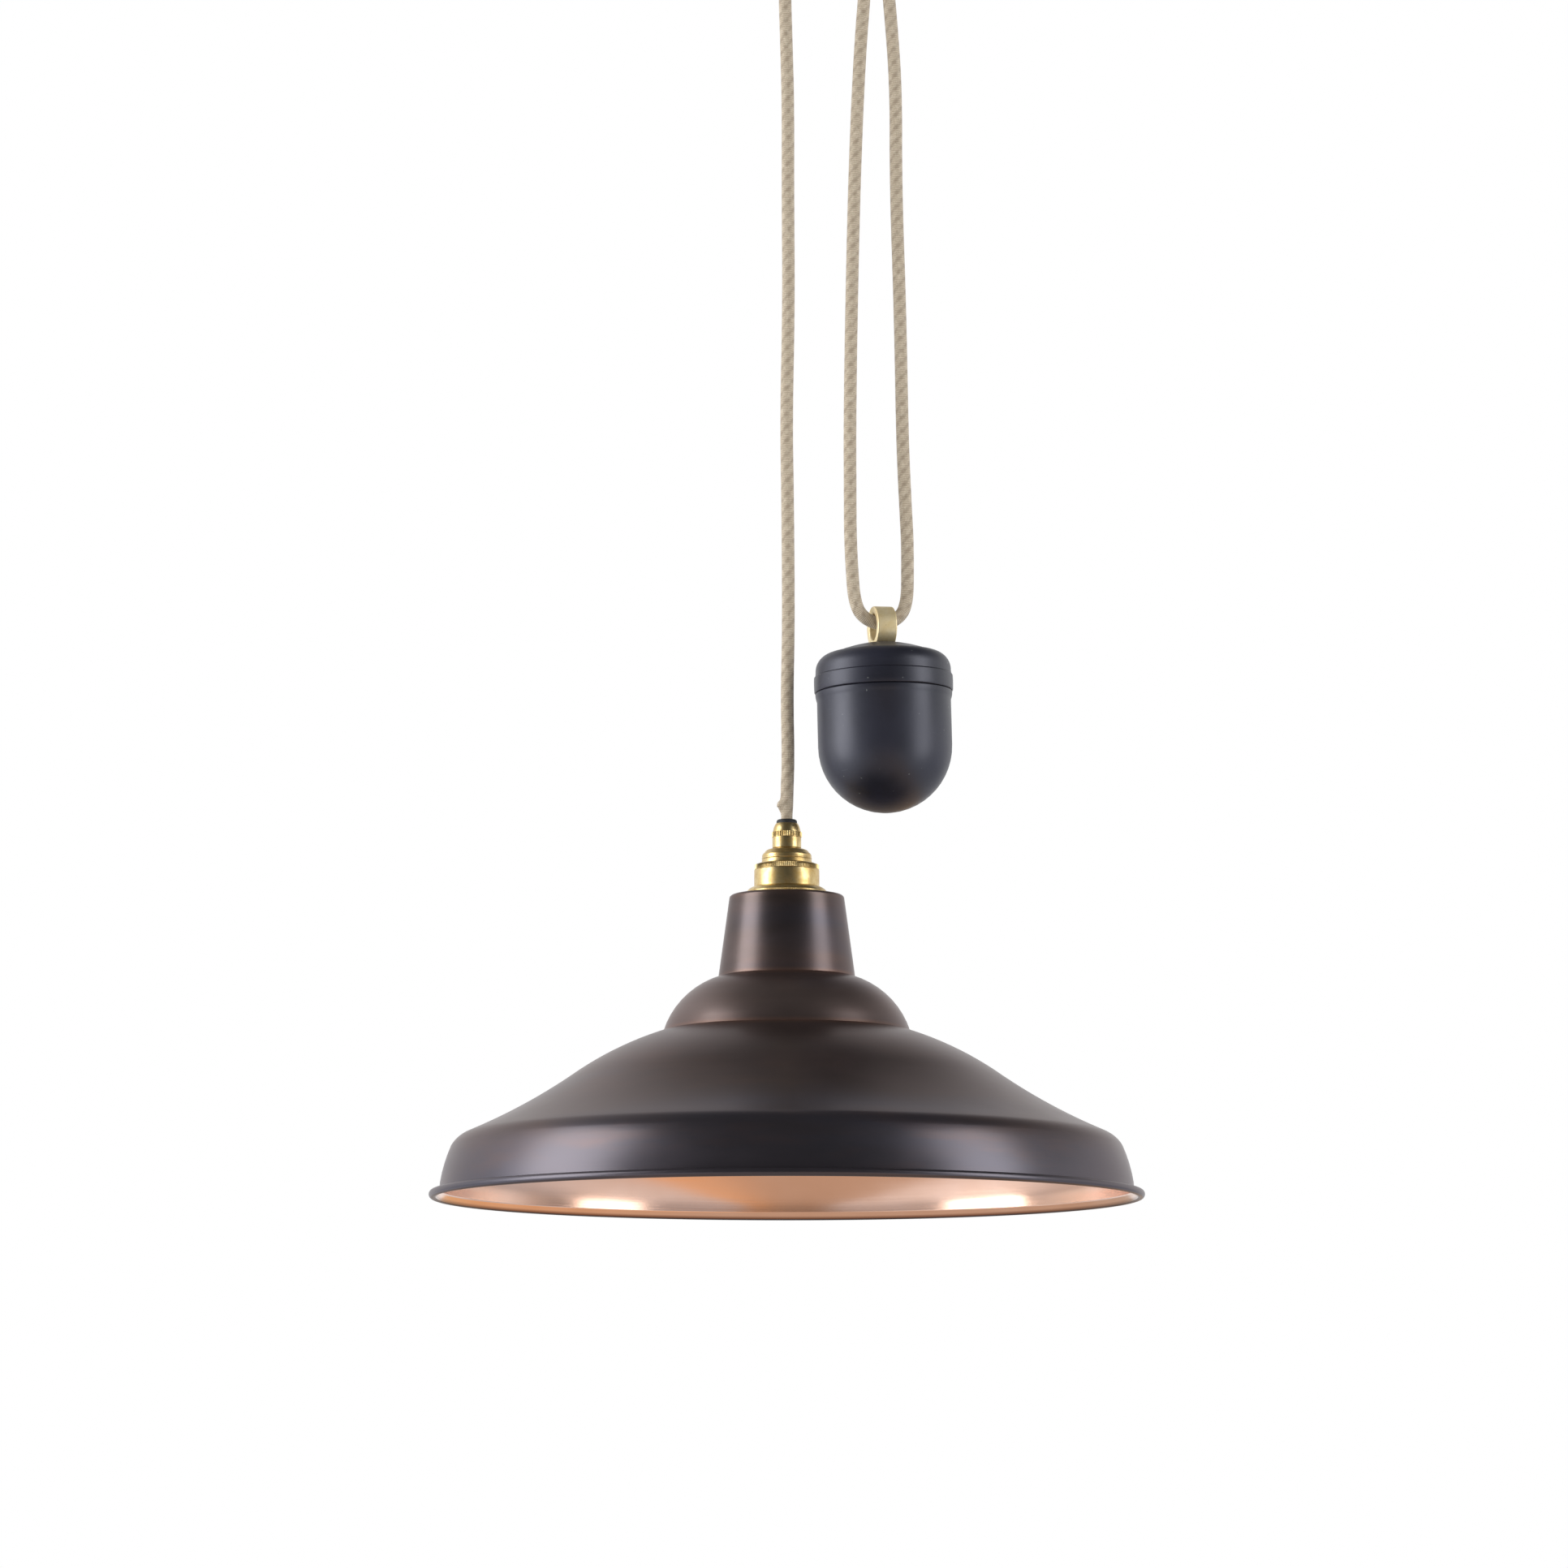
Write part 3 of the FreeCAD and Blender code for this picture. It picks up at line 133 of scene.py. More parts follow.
def white_room():
    """A white wall behind the pendant under a dark ceiling, and dark behind the camera, so that the
    metal has pale sides and a dark middle."""
    front, back = -0.30, 0.45               # where the wall begins and is full, by direction
    dark_from, dark_to, slope = 0.42, 0.98, 0.25
    darkest, as_light = 0.06, 0.55          # strength in reflections off the wall, on matt surfaces
    world = bpy.data.worlds.new("White room")
    SCENE.world = world
    world.use_nodes = True
    tree = world.node_tree
    tree.nodes.clear()
    sky = add(tree, "ShaderNodeTexCoord").outputs["Generated"]
    way = add(tree, "ShaderNodeSeparateXYZ", {0: sky}).outputs
    behind = add(tree, "ShaderNodeMapRange", {"Value": way["Y"], "From Min": front, "From Max": back},
                 interpolation_type="SMOOTHSTEP")
    height = add(tree, "ShaderNodeMath", {0: way["X"], 1: slope, 2: way["Z"]},
                 operation="MULTIPLY_ADD")
    below = add(tree, "ShaderNodeMapRange", {"Value": height.outputs[0], "From Min": dark_to,
                                             "From Max": dark_from}, interpolation_type="SMOOTHSTEP")
    wall = add(tree, "ShaderNodeMath", {0: behind.outputs["Result"], 1: below.outputs["Result"]},
               operation="MULTIPLY")
    mirrored = add(tree, "ShaderNodeMapRange", {"Value": wall.outputs[0], "To Min": darkest})
    path = add(tree, "ShaderNodeLightPath").outputs
    glossy = add(tree, "ShaderNodeMath", {0: path["Is Glossy Ray"], 1: path["Is Transmission Ray"]},
                 operation="MAXIMUM")
    indirect = add(tree, "ShaderNodeMix", {"Factor": glossy.outputs[0], 2: as_light,
                                           3: mirrored.outputs["Result"]})
    strength = add(tree, "ShaderNodeMix", {"Factor": path["Is Camera Ray"],
                                           2: indirect.outputs[0], 3: 1.0})
    light = add(tree, "ShaderNodeBackground", {"Color": (1, 1, 1, 1),
                                               "Strength": strength.outputs[0]})
    add(tree, "ShaderNodeOutputWorld", {"Surface": light.outputs[0]})


def floor():
    """A pale floor well below the rim. In reflections it shows a painted glow: a warm strip in front of
    the pendant, painted to stand in for light bounced inside the copper, and bluish white beside it,
    brighter on the left and dimmer far off."""
    half, low = 4.0, -1.5
    middle, warm_to, white_from = -0.06, 0.72, 0.96
    mesh = bpy.data.meshes.new("Floor")
    mesh.from_pydata([(-half, -half, low), (half, -half, low), (half, half, low), (-half, half, low)],
                     [], [(0, 1, 2, 3)])
    ground = bpy.data.objects.new("Floor", mesh)
    SCENE.collection.objects.link(ground)
    paint = bpy.data.materials.new("Matt white floor with painted reflections")
    paint.use_nodes = True
    tree = paint.node_tree
    tree.nodes.clear()
    matt = add(tree, "ShaderNodeBsdfDiffuse", {"Color": (0.86, 0.86, 0.86, 1)})
    spot = add(tree, "ShaderNodeNewGeometry").outputs["Position"]
    aside = add(tree, "ShaderNodeSeparateXYZ", {0: spot}).outputs["X"]
    beside = distance(tree, aside, middle)
    side = add(tree, "ShaderNodeMapRange", {"Value": beside, "From Min": warm_to,
                                            "From Max": white_from}, interpolation_type="SMOOTHSTEP")
    # Painted reflection: warm along the middle strip for the copper's inside to mirror, bluish white to the sides,
    # brighter on the left and fading far off.
    front = tinted(tree, (0.50, 0.36, 0.25, 1), (0.88, 0.47, 0.15, 1), aside, 0.10, 0.60)
    across = tinted(tree, (0.90, 0.93, 1.0, 1), (0.68, 0.71, 0.78, 1), aside, -1.0, 1.0)
    fading = add(tree, "ShaderNodeMapRange", {"Value": beside, "From Min": 1.7, "From Max": 3.2,
                                              "To Min": 1.0, "To Max": 0.55})
    painted_side_light = add(tree, "ShaderNodeVectorMath", {0: across, 3: fading.outputs["Result"]},
               operation="SCALE").outputs[0]
    tone = add(tree, "ShaderNodeMix", {"Factor": side.outputs["Result"], "A": front, "B": painted_side_light},
               data_type="RGBA").outputs["Result"]
    seen = add(tree, "ShaderNodeLightPath").outputs["Is Camera Ray"]
    whitened = add(tree, "ShaderNodeMix", {"Factor": seen, "A": tone, "B": (1, 1, 1, 1)},
                   data_type="RGBA").outputs["Result"]
    painted_studio_glow = add(tree, "ShaderNodeEmission", {"Color": whitened, "Strength": 1.0})
    share = add(tree, "ShaderNodeMath", {0: seen_directly(tree), 1: 0.75}, operation="MULTIPLY")
    white = add(tree, "ShaderNodeMixShader", {0: share.outputs[0], 1: matt.outputs[0],
                                              2: painted_studio_glow.outputs[0]})
    add(tree, "ShaderNodeOutputMaterial", {"Surface": white.outputs[0]})
    mesh.materials.append(paint)


# ---------------------------------------------------------------- materials
def colour(hexa):
    """An sRGB hex value as linear colour."""
    parts = [int(hexa[i:i + 2], 16) / 255 for i in (1, 3, 5)]
    return tuple(c / 12.92 if c <= 0.04045 else ((c + 0.055) / 1.055) ** 2.4 for c in parts) + (1.0,)


def finish_of(name, **values):
    """A new material and its shader, with plain values on the shader's own sockets."""
    made = bpy.data.materials.new(name)
    made.use_nodes = True
    tree = made.node_tree
    tree.nodes.clear()
    shader = add(tree, "ShaderNodeBsdfPrincipled",
                 {key.replace("_", " "): value for key, value in values.items()})
    add(tree, "ShaderNodeOutputMaterial", {"Surface": shader.outputs[0]})
    return made, tree, shader


def tinted(tree, under, over, value, low, high, least=0.0, most=1.0):
    """One colour over another, each a hex value, a linear colour or a socket. Its share goes from
    least to most while a value goes from low to high."""
    share = add(tree, "ShaderNodeMapRange", {"Value": value, "From Min": low, "From Max": high,
                                             "To Min": least, "To Max": most})
    tones = [colour(tone) if isinstance(tone, str) else tone for tone in (under, over)]
    return add(tree, "ShaderNodeMix", {"Factor": share.outputs["Result"], "A": tones[0],
                                       "B": tones[1]}, data_type="RGBA").outputs["Result"]


def grain(tree, where, per_metre, detail, roughness=0.5):
    """Noise with so many cells per metre, one number for all axes or one for each."""
    cells = per_metre if isinstance(per_metre, tuple) else (per_metre,) * 3
    scaled = add(tree, "ShaderNodeMapping", {"Vector": where, "Scale": cells}).outputs["Vector"]
    return add(tree, "ShaderNodeTexNoise", {"Vector": scaled, "Scale": 1.0, "Detail": detail,
                                            "Roughness": roughness}).outputs["Fac"]


def distance(tree, value, level):
    """How far a value is from a level."""
    gap = add(tree, "ShaderNodeMath", {0: value, 1: level}, operation="SUBTRACT").outputs[0]
    return add(tree, "ShaderNodeMath", {0: gap}, operation="ABSOLUTE").outputs[0]


def surfaced(tree, shader, tone, relief, depth, strength, polish=None):
    """Link a shader's colour and its relief, so many metres deep. Polish is an uneven value with the
    roughness at its low and at its high end."""
    bump = add(tree, "ShaderNodeBump", {"Height": relief, "Distance": depth, "Strength": strength})
    tree.links.new(tone, shader.inputs["Base Color"])
    tree.links.new(bump.outputs["Normal"], shader.inputs["Normal"])
    if polish:
        uneven, smooth, rough = polish
        spread = add(tree, "ShaderNodeMapRange", {"Value": uneven, "From Min": 0.3, "From Max": 0.7,
                                                  "To Min": smooth, "To Max": rough})
        tree.links.new(spread.outputs["Result"], shader.inputs["Roughness"])


def lathe_lines(tree, per_metre, per_turn):
    """Fine lines round a turned piece, from its own map: once round is 1 wide, metres along it."""
    here = add(tree, "ShaderNodeUVMap", uv_map="Turned").outputs["UV"]
    return grain(tree, here, (per_turn, per_metre, 1), 4.0, 0.6)


def weathered_copper():
    """Spun copper, darkened with sulphide and waxed: satin brown-black with bluish and violet patches, a
    paler band round the dome's middle, faint lines from the spinning tool, which the soft boxes stretch
    into streaks, and thin painted highlights along the neck's top edge and the creases at the neck's
    and the dome's foot."""
    apron_top, apron_foot, belly = -0.826, -0.840, -0.745
    made, tree, shader = finish_of(
        "Weathered copper, spun", Metallic=0.85, Roughness=0.34, Coat_Weight=0.55,
        Coat_Roughness=0.3, Specular_Tint=(0.52, 0.44, 0.44, 1.0))
    here = add(tree, "ShaderNodeTexCoord").outputs["Object"]
    clouds = grain(tree, here, (9, 9, 22), 5.0, 0.6)
    patches = grain(tree, here, (4, 4, 30), 2.0)
    rubbed = grain(tree, here, (7, 7, 40), 4.0, 0.65)
    lines = lathe_lines(tree, 900.0, 5.0)
    height = add(tree, "ShaderNodeSeparateXYZ", {0: here}).outputs["Z"]
    base = tinted(tree, "#483D3A", "#5B4D4B", clouds, 0.35, 0.68)
    blue = tinted(tree, base, "#484650", patches, 0.48, 0.66)
    low = tinted(tree, blue, "#4B4B57", height, apron_top, apron_foot, 0.0, 0.65)
    # A paler band round the dome's middle, strongest at its height and gone 18 mm away.
    paler_belly = tinted(tree, low, "#80706B", distance(tree, height, belly), 0.004, 0.018, 0.5, 0.0)
    brown = tinted(tree, paler_belly, "#6E5144", rubbed, 0.52, 0.78, 0.0, 0.35)
    lines_and_edge_highlights = tinted(tree, brown, "#76594F", lines, 0.62, 0.80, 0.0, 0.22)
    patchy = add(tree, "ShaderNodeMapRange", {"Value": clouds, "From Min": 0.38, "From Max": 0.62,
                                              "To Max": 0.4}).outputs["Result"]
    # Painted highlights: thin paler lines along the neck's top edge and the creases at the neck's and the dome's foot,
    # not wear.
    for edge in (NECK_FOOT, DOME_FOOT, NECK_TOP):
        off = distance(tree, height, edge)
        lines_and_edge_highlights = tinted(tree, lines_and_edge_highlights, "#83604E", off, 0.0005, 0.0026, patchy, 0.0)
    surfaced(tree, shader, lines_and_edge_highlights, lines, 0.00004, 0.5, (clouds, 0.30, 0.42))
    return made


def polished_copper():
    """The same sheet left bright and lacquered inside: warm pink mirror with soft lathe lines."""
    curl_top, curl_foot = -0.8598, -0.8614
    made, tree, shader = finish_of("Polished copper, lacquered", Metallic=1.0, Roughness=0.16,
                                   Coat_Weight=0.4, Coat_Roughness=0.12)
    here = add(tree, "ShaderNodeTexCoord").outputs["Object"]
    lines = lathe_lines(tree, 500.0, 3.0)
    height = add(tree, "ShaderNodeSeparateXYZ", {0: here}).outputs["Z"]
    base = tinted(tree, "#F3CDB9", "#EABFA6", grain(tree, here, 14.0, 3.0), 0.35, 0.65)
    curled = tinted(tree, base, "#8A5B42", height, curl_top, curl_foot)
    surfaced(tree, shader, curled, lines, 0.00003, 0.4, (lines, 0.16, 0.26))
    return made


def turned_brass(name, pale, deep, rough, lines_depth, metallic=1.0):
    """Brass turned on a lathe: yellow metal, brown where handling has tarnished it."""
    made, tree, shader = finish_of(name, Metallic=metallic, Roughness=rough)
    here = add(tree, "ShaderNodeTexCoord").outputs["Object"]
    stains = grain(tree, here, 180.0, 4.0, 0.6)
    base = tinted(tree, pale, deep, stains, 0.38, 0.66)
    spotted = tinted(tree, base, "#7A6032", grain(tree, here, 900.0, 2.0), 0.66, 0.76, 0.0, 0.35)
    surfaced(tree, shader, spotted, lathe_lines(tree, 4000.0, 3.0), lines_depth, 0.5,
             (stains, rough - 0.05, rough + 0.09))
    return made


def plain_metal(name, base, rough, grain_per_metre=700.0):
    """Drawn or plated steel: grey metal with a slight unevenness."""
    made, tree, shader = finish_of(name, Metallic=1.0, Roughness=rough)
    here = add(tree, "ShaderNodeTexCoord").outputs["Object"]
    uneven = grain(tree, here, grain_per_metre, 3.0)
    dulled = tinted(tree, base, "#3A3835", uneven, 0.3, 0.7, 0.0, 0.35)
    surfaced(tree, shader, dulled, uneven, 0.00003, 0.4, (uneven, rough - 0.05, rough + 0.1))
    return made


def weight_enamel():
    """Stoved enamel on iron: blue-black and satin, with orange-peel grain, dust specks and a few
    scratches."""
    made, tree, shader = finish_of(
        "Stoved enamel on iron", Metallic=0.0, Roughness=0.42, Coat_Weight=0.1, Coat_Roughness=0.35,
        Specular_IOR_Level=0.68, Specular_Tint=(0.84, 0.86, 1.0, 1.0))
    here = add(tree, "ShaderNodeTexCoord").outputs["Object"]
    clouds = grain(tree, here, 30.0, 3.0)
    specks = grain(tree, here, 520.0, 0.0)
    scratch = grain(tree, here, (60, 60, 900), 1.0)
    peel = grain(tree, here, 1400.0, 2.0)
    base = tinted(tree, "#15161F", "#1D1E2B", clouds, 0.35, 0.65)
    dusty = tinted(tree, base, "#8B8F8A", specks, 0.84, 0.88, 0.0, 0.45)
    lined = tinted(tree, dusty, "#5A5D66", scratch, 0.76, 0.80, 0.0, 0.25)
    surfaced(tree, shader, lined, peel, 0.00004, 0.35, (clouds, 0.38, 0.48))
    return made


def braided_cotton():
    """Round cotton braid: pale and brown yarns cross at a slant, and the brown ones wind round the
    cord in flecks 8.3 mm apart. Yarns lie 0.45 mm apart in the braid and are drawn at 1.1 mm so that
    they show."""
    yarn, slant, fleck, winds = 0.0011, 0.6, 0.0083, 3
    made, tree, shader = finish_of("Cotton braid, two yarns", Roughness=0.92, Sheen_Weight=0.35,
                                   Sheen_Roughness=0.6)
    here = add(tree, "ShaderNodeUVMap", uv_map="Along").outputs["UV"]

    def slanted(across, along):
        """A wave over the cord's own map, in turns per metre round and along it."""
        phase = add(tree, "ShaderNodeVectorMath", {0: here, 1: (across, along, 0)},
                    operation="DOT_PRODUCT")
        angle = add(tree, "ShaderNodeMath", {0: phase.outputs["Value"], 1: math.tau},
                    operation="MULTIPLY")
        return add(tree, "ShaderNodeMath", {0: angle.outputs[0]}, operation="SINE").outputs[0]

    around = round(GIRTH / yarn) / GIRTH
    cross = add(tree, "ShaderNodeMath", {0: slanted(around, slant / yarn),
                                         1: slanted(around, -slant / yarn)},
                operation="MULTIPLY").outputs[0]
    wind = add(tree, "ShaderNodeMath", {0: slanted(winds / GIRTH, 1 / fleck), 1: 0.35,
                                        2: slanted(winds / GIRTH, -1 / fleck)},
               operation="MULTIPLY_ADD").outputs[0]
    fuzz = grain(tree, here, (1400, 900, 1), 3.0, 0.7)
    blotch = grain(tree, here, (300, 220, 1), 2.0)
    base = tinted(tree, "#8F7C64", "#E4D8C2", cross, -0.4, 0.6)
    dark = tinted(tree, base, "#76634F", wind, 0.0, 1.2, 0.0, 0.5)
    uneven = tinted(tree, dark, "#95846C", fuzz, 0.42, 0.7, 0.0, 0.55)
    pale = tinted(tree, uneven, "#E2D7C2", blotch, 0.52, 0.75, 0.0, 0.35)
    both = add(tree, "ShaderNodeMath", {0: cross, 1: fuzz}, operation="ADD").outputs[0]
    surfaced(tree, shader, pale, both, 0.00012, 0.7)
    return made


def moulded(name, base, deep, rough, scale=900.0, depth=0.00003):
    """A moulded or glazed piece: even colour with a slight cloud and grain."""
    made, tree, shader = finish_of(name, Roughness=rough)
    here = add(tree, "ShaderNodeTexCoord").outputs["Object"]
    tone = tinted(tree, base, deep, grain(tree, here, scale / 8, 3.0), 0.35, 0.65)
    surfaced(tree, shader, tone, grain(tree, here, scale, 2.0), depth, 0.4)
    return made


# ---------------------------------------------------------------- meshes
def walk(points, soft):
    """Points along a closed outline: arcs by their height to the left of the walk, corners rounded
    by a little."""
    bend_step, run_step = 7, 6          # degrees and millimetres between the points of an arc
    least_corner, most_cut = 20, 0.4    # degrees of a corner to round, share of a side that it takes
    line = []
    for index, point in enumerate(points):
        if len(point) > 2:
            start, end, rise = Vector(points[index - 1][:2]), Vector(point[:2]), point[2]
            chord = end - start
            half = 2 * math.atan(2 * abs(rise) / chord.length)
            radius = chord.length / 2 / math.sin(half)
            steps = max(3, math.ceil(math.degrees(2 * half) / bend_step),
                        math.ceil(2 * half * radius / run_step))
            left = Vector((-chord.y, chord.x)).normalized() * math.copysign(1, rise)
            centre = (start + end) / 2 - left * radius * math.cos(half)
            spoke = start - centre
            turn = -math.copysign(2 * half, rise)
            for step in range(1, steps):
                bend = turn * step / steps
                line.append((centre + Matrix.Rotation(bend, 2) @ spoke, False))
        line.append((Vector(point[:2]), True))
    if not soft:
        return [spot for spot, _ in line]
    rounded = []
    for index, (spot, corner) in enumerate(line):
        before, after = line[index - 1][0] - spot, line[(index + 1) % len(line)][0] - spot
        if not corner or min(spot.x, before.length, after.length) < TINY:
            rounded.append(spot)
            continue
        turn = math.pi - before.angle(after)
        if turn < math.radians(least_corner):
            rounded.append(spot)
            continue
        trim = min(soft * math.tan(turn / 2), most_cut * before.length, most_cut * after.length)
        first, last = spot + before.normalized() * trim, spot + after.normalized() * trim
        for share in (0, 0.25, 0.5, 0.75, 1):
            rounded.append((1 - share) ** 2 * first + 2 * share * (1 - share) * spot
                           + share ** 2 * last)
    return rounded


def turned(name, points, where, finish, sides=96, soft=0.25, finishes=None, keep=False):
    """A piece turned about its own Z from (radius, height) points, with a map round and along it.
    finishes makes a line into a sheet and says which finish each stretch has; a piece to keep stays
    in its own millimetres."""
    line = walk(points, soft)
    line, marks = finishes(line) if finishes else (line, [0] * len(line))
    count = len(line)
    verts, rows, lengths = [], [], [0.0]
    for index, spot in enumerate(line):
        lengths.append(lengths[-1] + (line[(index + 1) % count] - spot).length * 0.001)
        if abs(spot.x) < TINY:
            rows.append([len(verts)] * sides)
            verts.append((0, 0, spot.y))
        else:
            rows.append(list(range(len(verts), len(verts) + sides)))
            verts.extend((spot.x * math.cos(math.tau * side / sides),
                          spot.x * math.sin(math.tau * side / sides), spot.y)
                         for side in range(sides))
    faces, map_points, slots = [], [], []
    for index in range(count):
        low, high = rows[index], rows[(index + 1) % count]
        if low[0] == low[1] and high[0] == high[1]:
            continue
        for side in range(sides):
            after = (side + 1) % sides
            corners = [(low[side], side, index), (low[after], side + 1, index),
                       (high[after], side + 1, index + 1), (high[side], side, index + 1)]
            kept = [corner for number, corner in enumerate(corners)
                    if corner[0] != corners[number - 1][0]]
            faces.append([corner[0] for corner in kept])
            map_points.extend((corner[1] / sides, lengths[corner[2]]) for corner in kept)
            slots.append(marks[index])
    mesh = bpy.data.meshes.new(name)
    mesh.from_pydata(verts, [], faces)
    layer = mesh.uv_layers.new(name="Turned")
    layer.data.foreach_set("uv", [value for point in map_points for value in point])
    for made in (finish if isinstance(finish, (list, tuple)) else [finish]):
        mesh.materials.append(made)
    mesh.polygons.foreach_set("material_index", slots)
    if face_way(mesh) < 0:
        mesh.flip_normals()
    smoothed(mesh)
    if not keep:
        mesh.transform(where)
    return shown(name, mesh)


def shown(name, mesh):
    """An object for a finished mesh."""
    piece = bpy.data.objects.new(name.replace(" ", "_"), mesh)
    SCENE.collection.objects.link(piece)
    return piece


def face_way(mesh):
    """Volume inside a closed mesh: negative where its faces point inwards."""
    total = 0.0
    for face in mesh.polygons:
        corners = [mesh.vertices[vertex].co for vertex in face.vertices]
        for second, third in zip(corners[1:], corners[2:]):
            total += corners[0].dot(second.cross(third))
    return total


def smoothed(mesh, angle=38):
    """Smooth shading, with edges kept sharper than an angle."""
    mesh.shade_smooth()
    mesh.set_sharp_from_angle(angle=math.radians(angle))


# ---------------------------------------------------------------- milled edges
def milling_tree():
    """Adds a row of upright teeth round a turned piece."""
    tree = bpy.data.node_groups.new("Milled edge", "GeometryNodeTree")
    tree.is_modifier = True
    for name, kind in (("Geometry", "NodeSocketGeometry"), ("Teeth", "NodeSocketInt"),
                       ("Radius", "NodeSocketFloat"), ("Foot", "NodeSocketFloat"),
                       ("Height", "NodeSocketFloat"), ("Tooth", "NodeSocketFloat"),
                       ("Finish", "NodeSocketMaterial")):
        tree.interface.new_socket(name, in_out="INPUT", socket_type=kind)
    tree.interface.new_socket("Geometry", in_out="OUTPUT", socket_type="NodeSocketGeometry")
    given = add(tree, "NodeGroupInput").outputs
    ring = add(tree, "GeometryNodeMeshCircle", {"Vertices": given["Teeth"], "Radius": given["Radius"]})
    tooth = add(tree, "GeometryNodeMeshCylinder", {"Vertices": 4, "Radius": given["Tooth"],
                                                   "Depth": given["Height"]})
    out = add(tree, "FunctionNodeAlignRotationToVector",
              {"Vector": add(tree, "GeometryNodeInputPosition").outputs[0]}, axis="X")
    row = add(tree, "GeometryNodeInstanceOnPoints", {"Points": ring.outputs["Mesh"],
                                                     "Instance": tooth.outputs["Mesh"],
                                                     "Rotation": out.outputs["Rotation"]})
    half = add(tree, "ShaderNodeMath", {0: given["Height"], 1: 0.5, 2: given["Foot"]},
               operation="MULTIPLY_ADD")
    lift = add(tree, "ShaderNodeCombineXYZ", {"Z": half.outputs[0]})
    raised = add(tree, "GeometryNodeTransform", {"Geometry": row.outputs[0],
                                                 "Translation": lift.outputs[0]})
    both = add(tree, "GeometryNodeJoinGeometry")
    tree.links.new(raised.outputs[0], both.inputs[0])
    tree.links.new(given["Geometry"], both.inputs[0])
    solid = add(tree, "GeometryNodeRealizeInstances", {"Geometry": both.outputs[0]})
    coated = add(tree, "GeometryNodeSetMaterial", {"Geometry": solid.outputs[0],
                                                   "Material": given["Finish"]})
    add(tree, "NodeGroupOutput", {"Geometry": coated.outputs[0]})
    return tree


def milled(piece, where, **sizes):
    """Cut teeth round a turned piece that is still in its own millimetres, and put it in its place."""
    work = piece.modifiers.new("Milling", "NODES")
    work.node_group = MILLING
    for socket in MILLING.interface.items_tree:
        if socket.in_out == "INPUT" and socket.name in sizes:
            work[socket.identifier] = sizes[socket.name]
    result = worked(piece)
    piece.modifiers.remove(work)
    piece.data = result
    result.transform(where)


def worked(piece):
    """The mesh that an object has once its modifiers or its curve are worked out."""
    bpy.context.view_layer.update()
    graph = bpy.context.evaluated_depsgraph_get()
    return bpy.data.meshes.new_from_object(piece.evaluated_get(graph))


# ---------------------------------------------------------------- cord
def smooth_line(route):
    """Points of the smooth curve that a route of control points gives, in metres."""
    curve = bpy.data.curves.new("Route", "CURVE")
    curve.dimensions = "3D"
    spline = curve.splines.new("NURBS")
    spline.points.add(len(route) - 1)
    for point, spot in zip(spline.points, route):
        point.co = (spot[0] * 0.001, spot[1] * 0.001, spot[2] * 0.001, 1)
    spline.order_u = 3
    spline.use_endpoint_u = True
    curve.resolution_u = 48
    holder = bpy.data.objects.new("Route", curve)
    SCENE.collection.objects.link(holder)
    mesh = worked(holder)
    path = [vertex.co.copy() for vertex in mesh.vertices]
    bpy.data.objects.remove(holder)
    bpy.data.meshes.remove(mesh)
    return path


def braided_tube(name, path, start, shape=None):
    """A round cord along a path, with a map in metres round and along it from a starting length."""
    sides, unevenness = 40, 0.012
    radius = CORD_R * 0.001
    verts, faces, map_points = [], [], []
    way = (path[1] - path[0]).normalized()
    side = Vector((0, 1, 0)).cross(way).normalized()
    length = start
    lengths = []
    for index, spot in enumerate(path):
        ahead = (path[min(index + 1, len(path) - 1)] - path[max(index - 1, 0)]).normalized()
        side = (side - ahead * side.dot(ahead)).normalized()
        up = ahead.cross(side)
        if index:
            length += (spot - path[index - 1]).length
        lengths.append(length)
        for turn in range(sides):
            angle = math.tau * turn / sides
            out = side * math.cos(angle) + up * math.sin(angle)
            wide = radius * (1 + unevenness * noise.noise(Vector((angle * 2, length * 160, 3))))
            if shape:
                wide += shape(spot, out) * 0.001
            verts.append(spot + out * wide)
    for index in range(len(path) - 1):
        for turn in range(sides):
            after = (turn + 1) % sides
            low, high = index * sides, (index + 1) * sides
            faces.append((low + turn, low + after, high + after, high + turn))
            across = (turn / sides * GIRTH, (turn + 1) / sides * GIRTH)
            map_points += [(across[0], lengths[index]), (across[1], lengths[index]),
                           (across[1], lengths[index + 1]), (across[0], lengths[index + 1])]
    for row, order in ((0, -1), ((len(path) - 1) * sides, 1)):
        faces.append([row + turn for turn in range(sides)][::order])
        map_points += [(0.0, 0.0)] * sides
    mesh = bpy.data.meshes.new(name)
    mesh.from_pydata(verts, [], faces)
    layer = mesh.uv_layers.new(name="Along")
    layer.data.foreach_set("uv", [value for point in map_points for value in point])
    mesh.materials.append(BRAID)
    if face_way(mesh) < 0:
        mesh.flip_normals()
    smoothed(mesh, 60)
    return shown(name, mesh)


def along_route(name, route, node, start, shape=None):
    """One stretch of the cord in place of its node, its map running on from a starting length; returns the length
    where it ends.
    """
    path = smooth_line(route)
    piece = braided_tube(name, path, start, shape)
    length = sum((second - first).length for first, second in zip(path, path[1:]))
    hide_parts(node)
    return piece, start + length


def near_ring(along, up):
    """A point of the bight, along the ring's axis and up from its centre."""
    yaw = math.radians(RING_YAW)
    return (RING_AT[0] + along * math.cos(yaw), along * math.sin(yaw), RING_AT[2] + up)


def frayed(spot, out):
    """The braid is drawn in above the lampholder, with a bunched end of yarn on its left. Millimetres
    by which the cord is thicker there, from the height above the lamp's cord grip."""
    grip_top, left = -0.6319, Vector((-0.95, -0.3, 0))
    height = (spot.z - grip_top) * 1000
    drawn = -0.45 * math.exp(-((height - 2) / 5) ** 2)
    bunch = 2.6 * math.exp(-((height - 8.6) / 2.9) ** 2) * max(0.0, out.dot(left)) ** 3
    rough = 1 + 0.5 * noise.noise(Vector((out.x * 3, out.z * 3, height * 0.5)))
    return drawn + bunch * rough


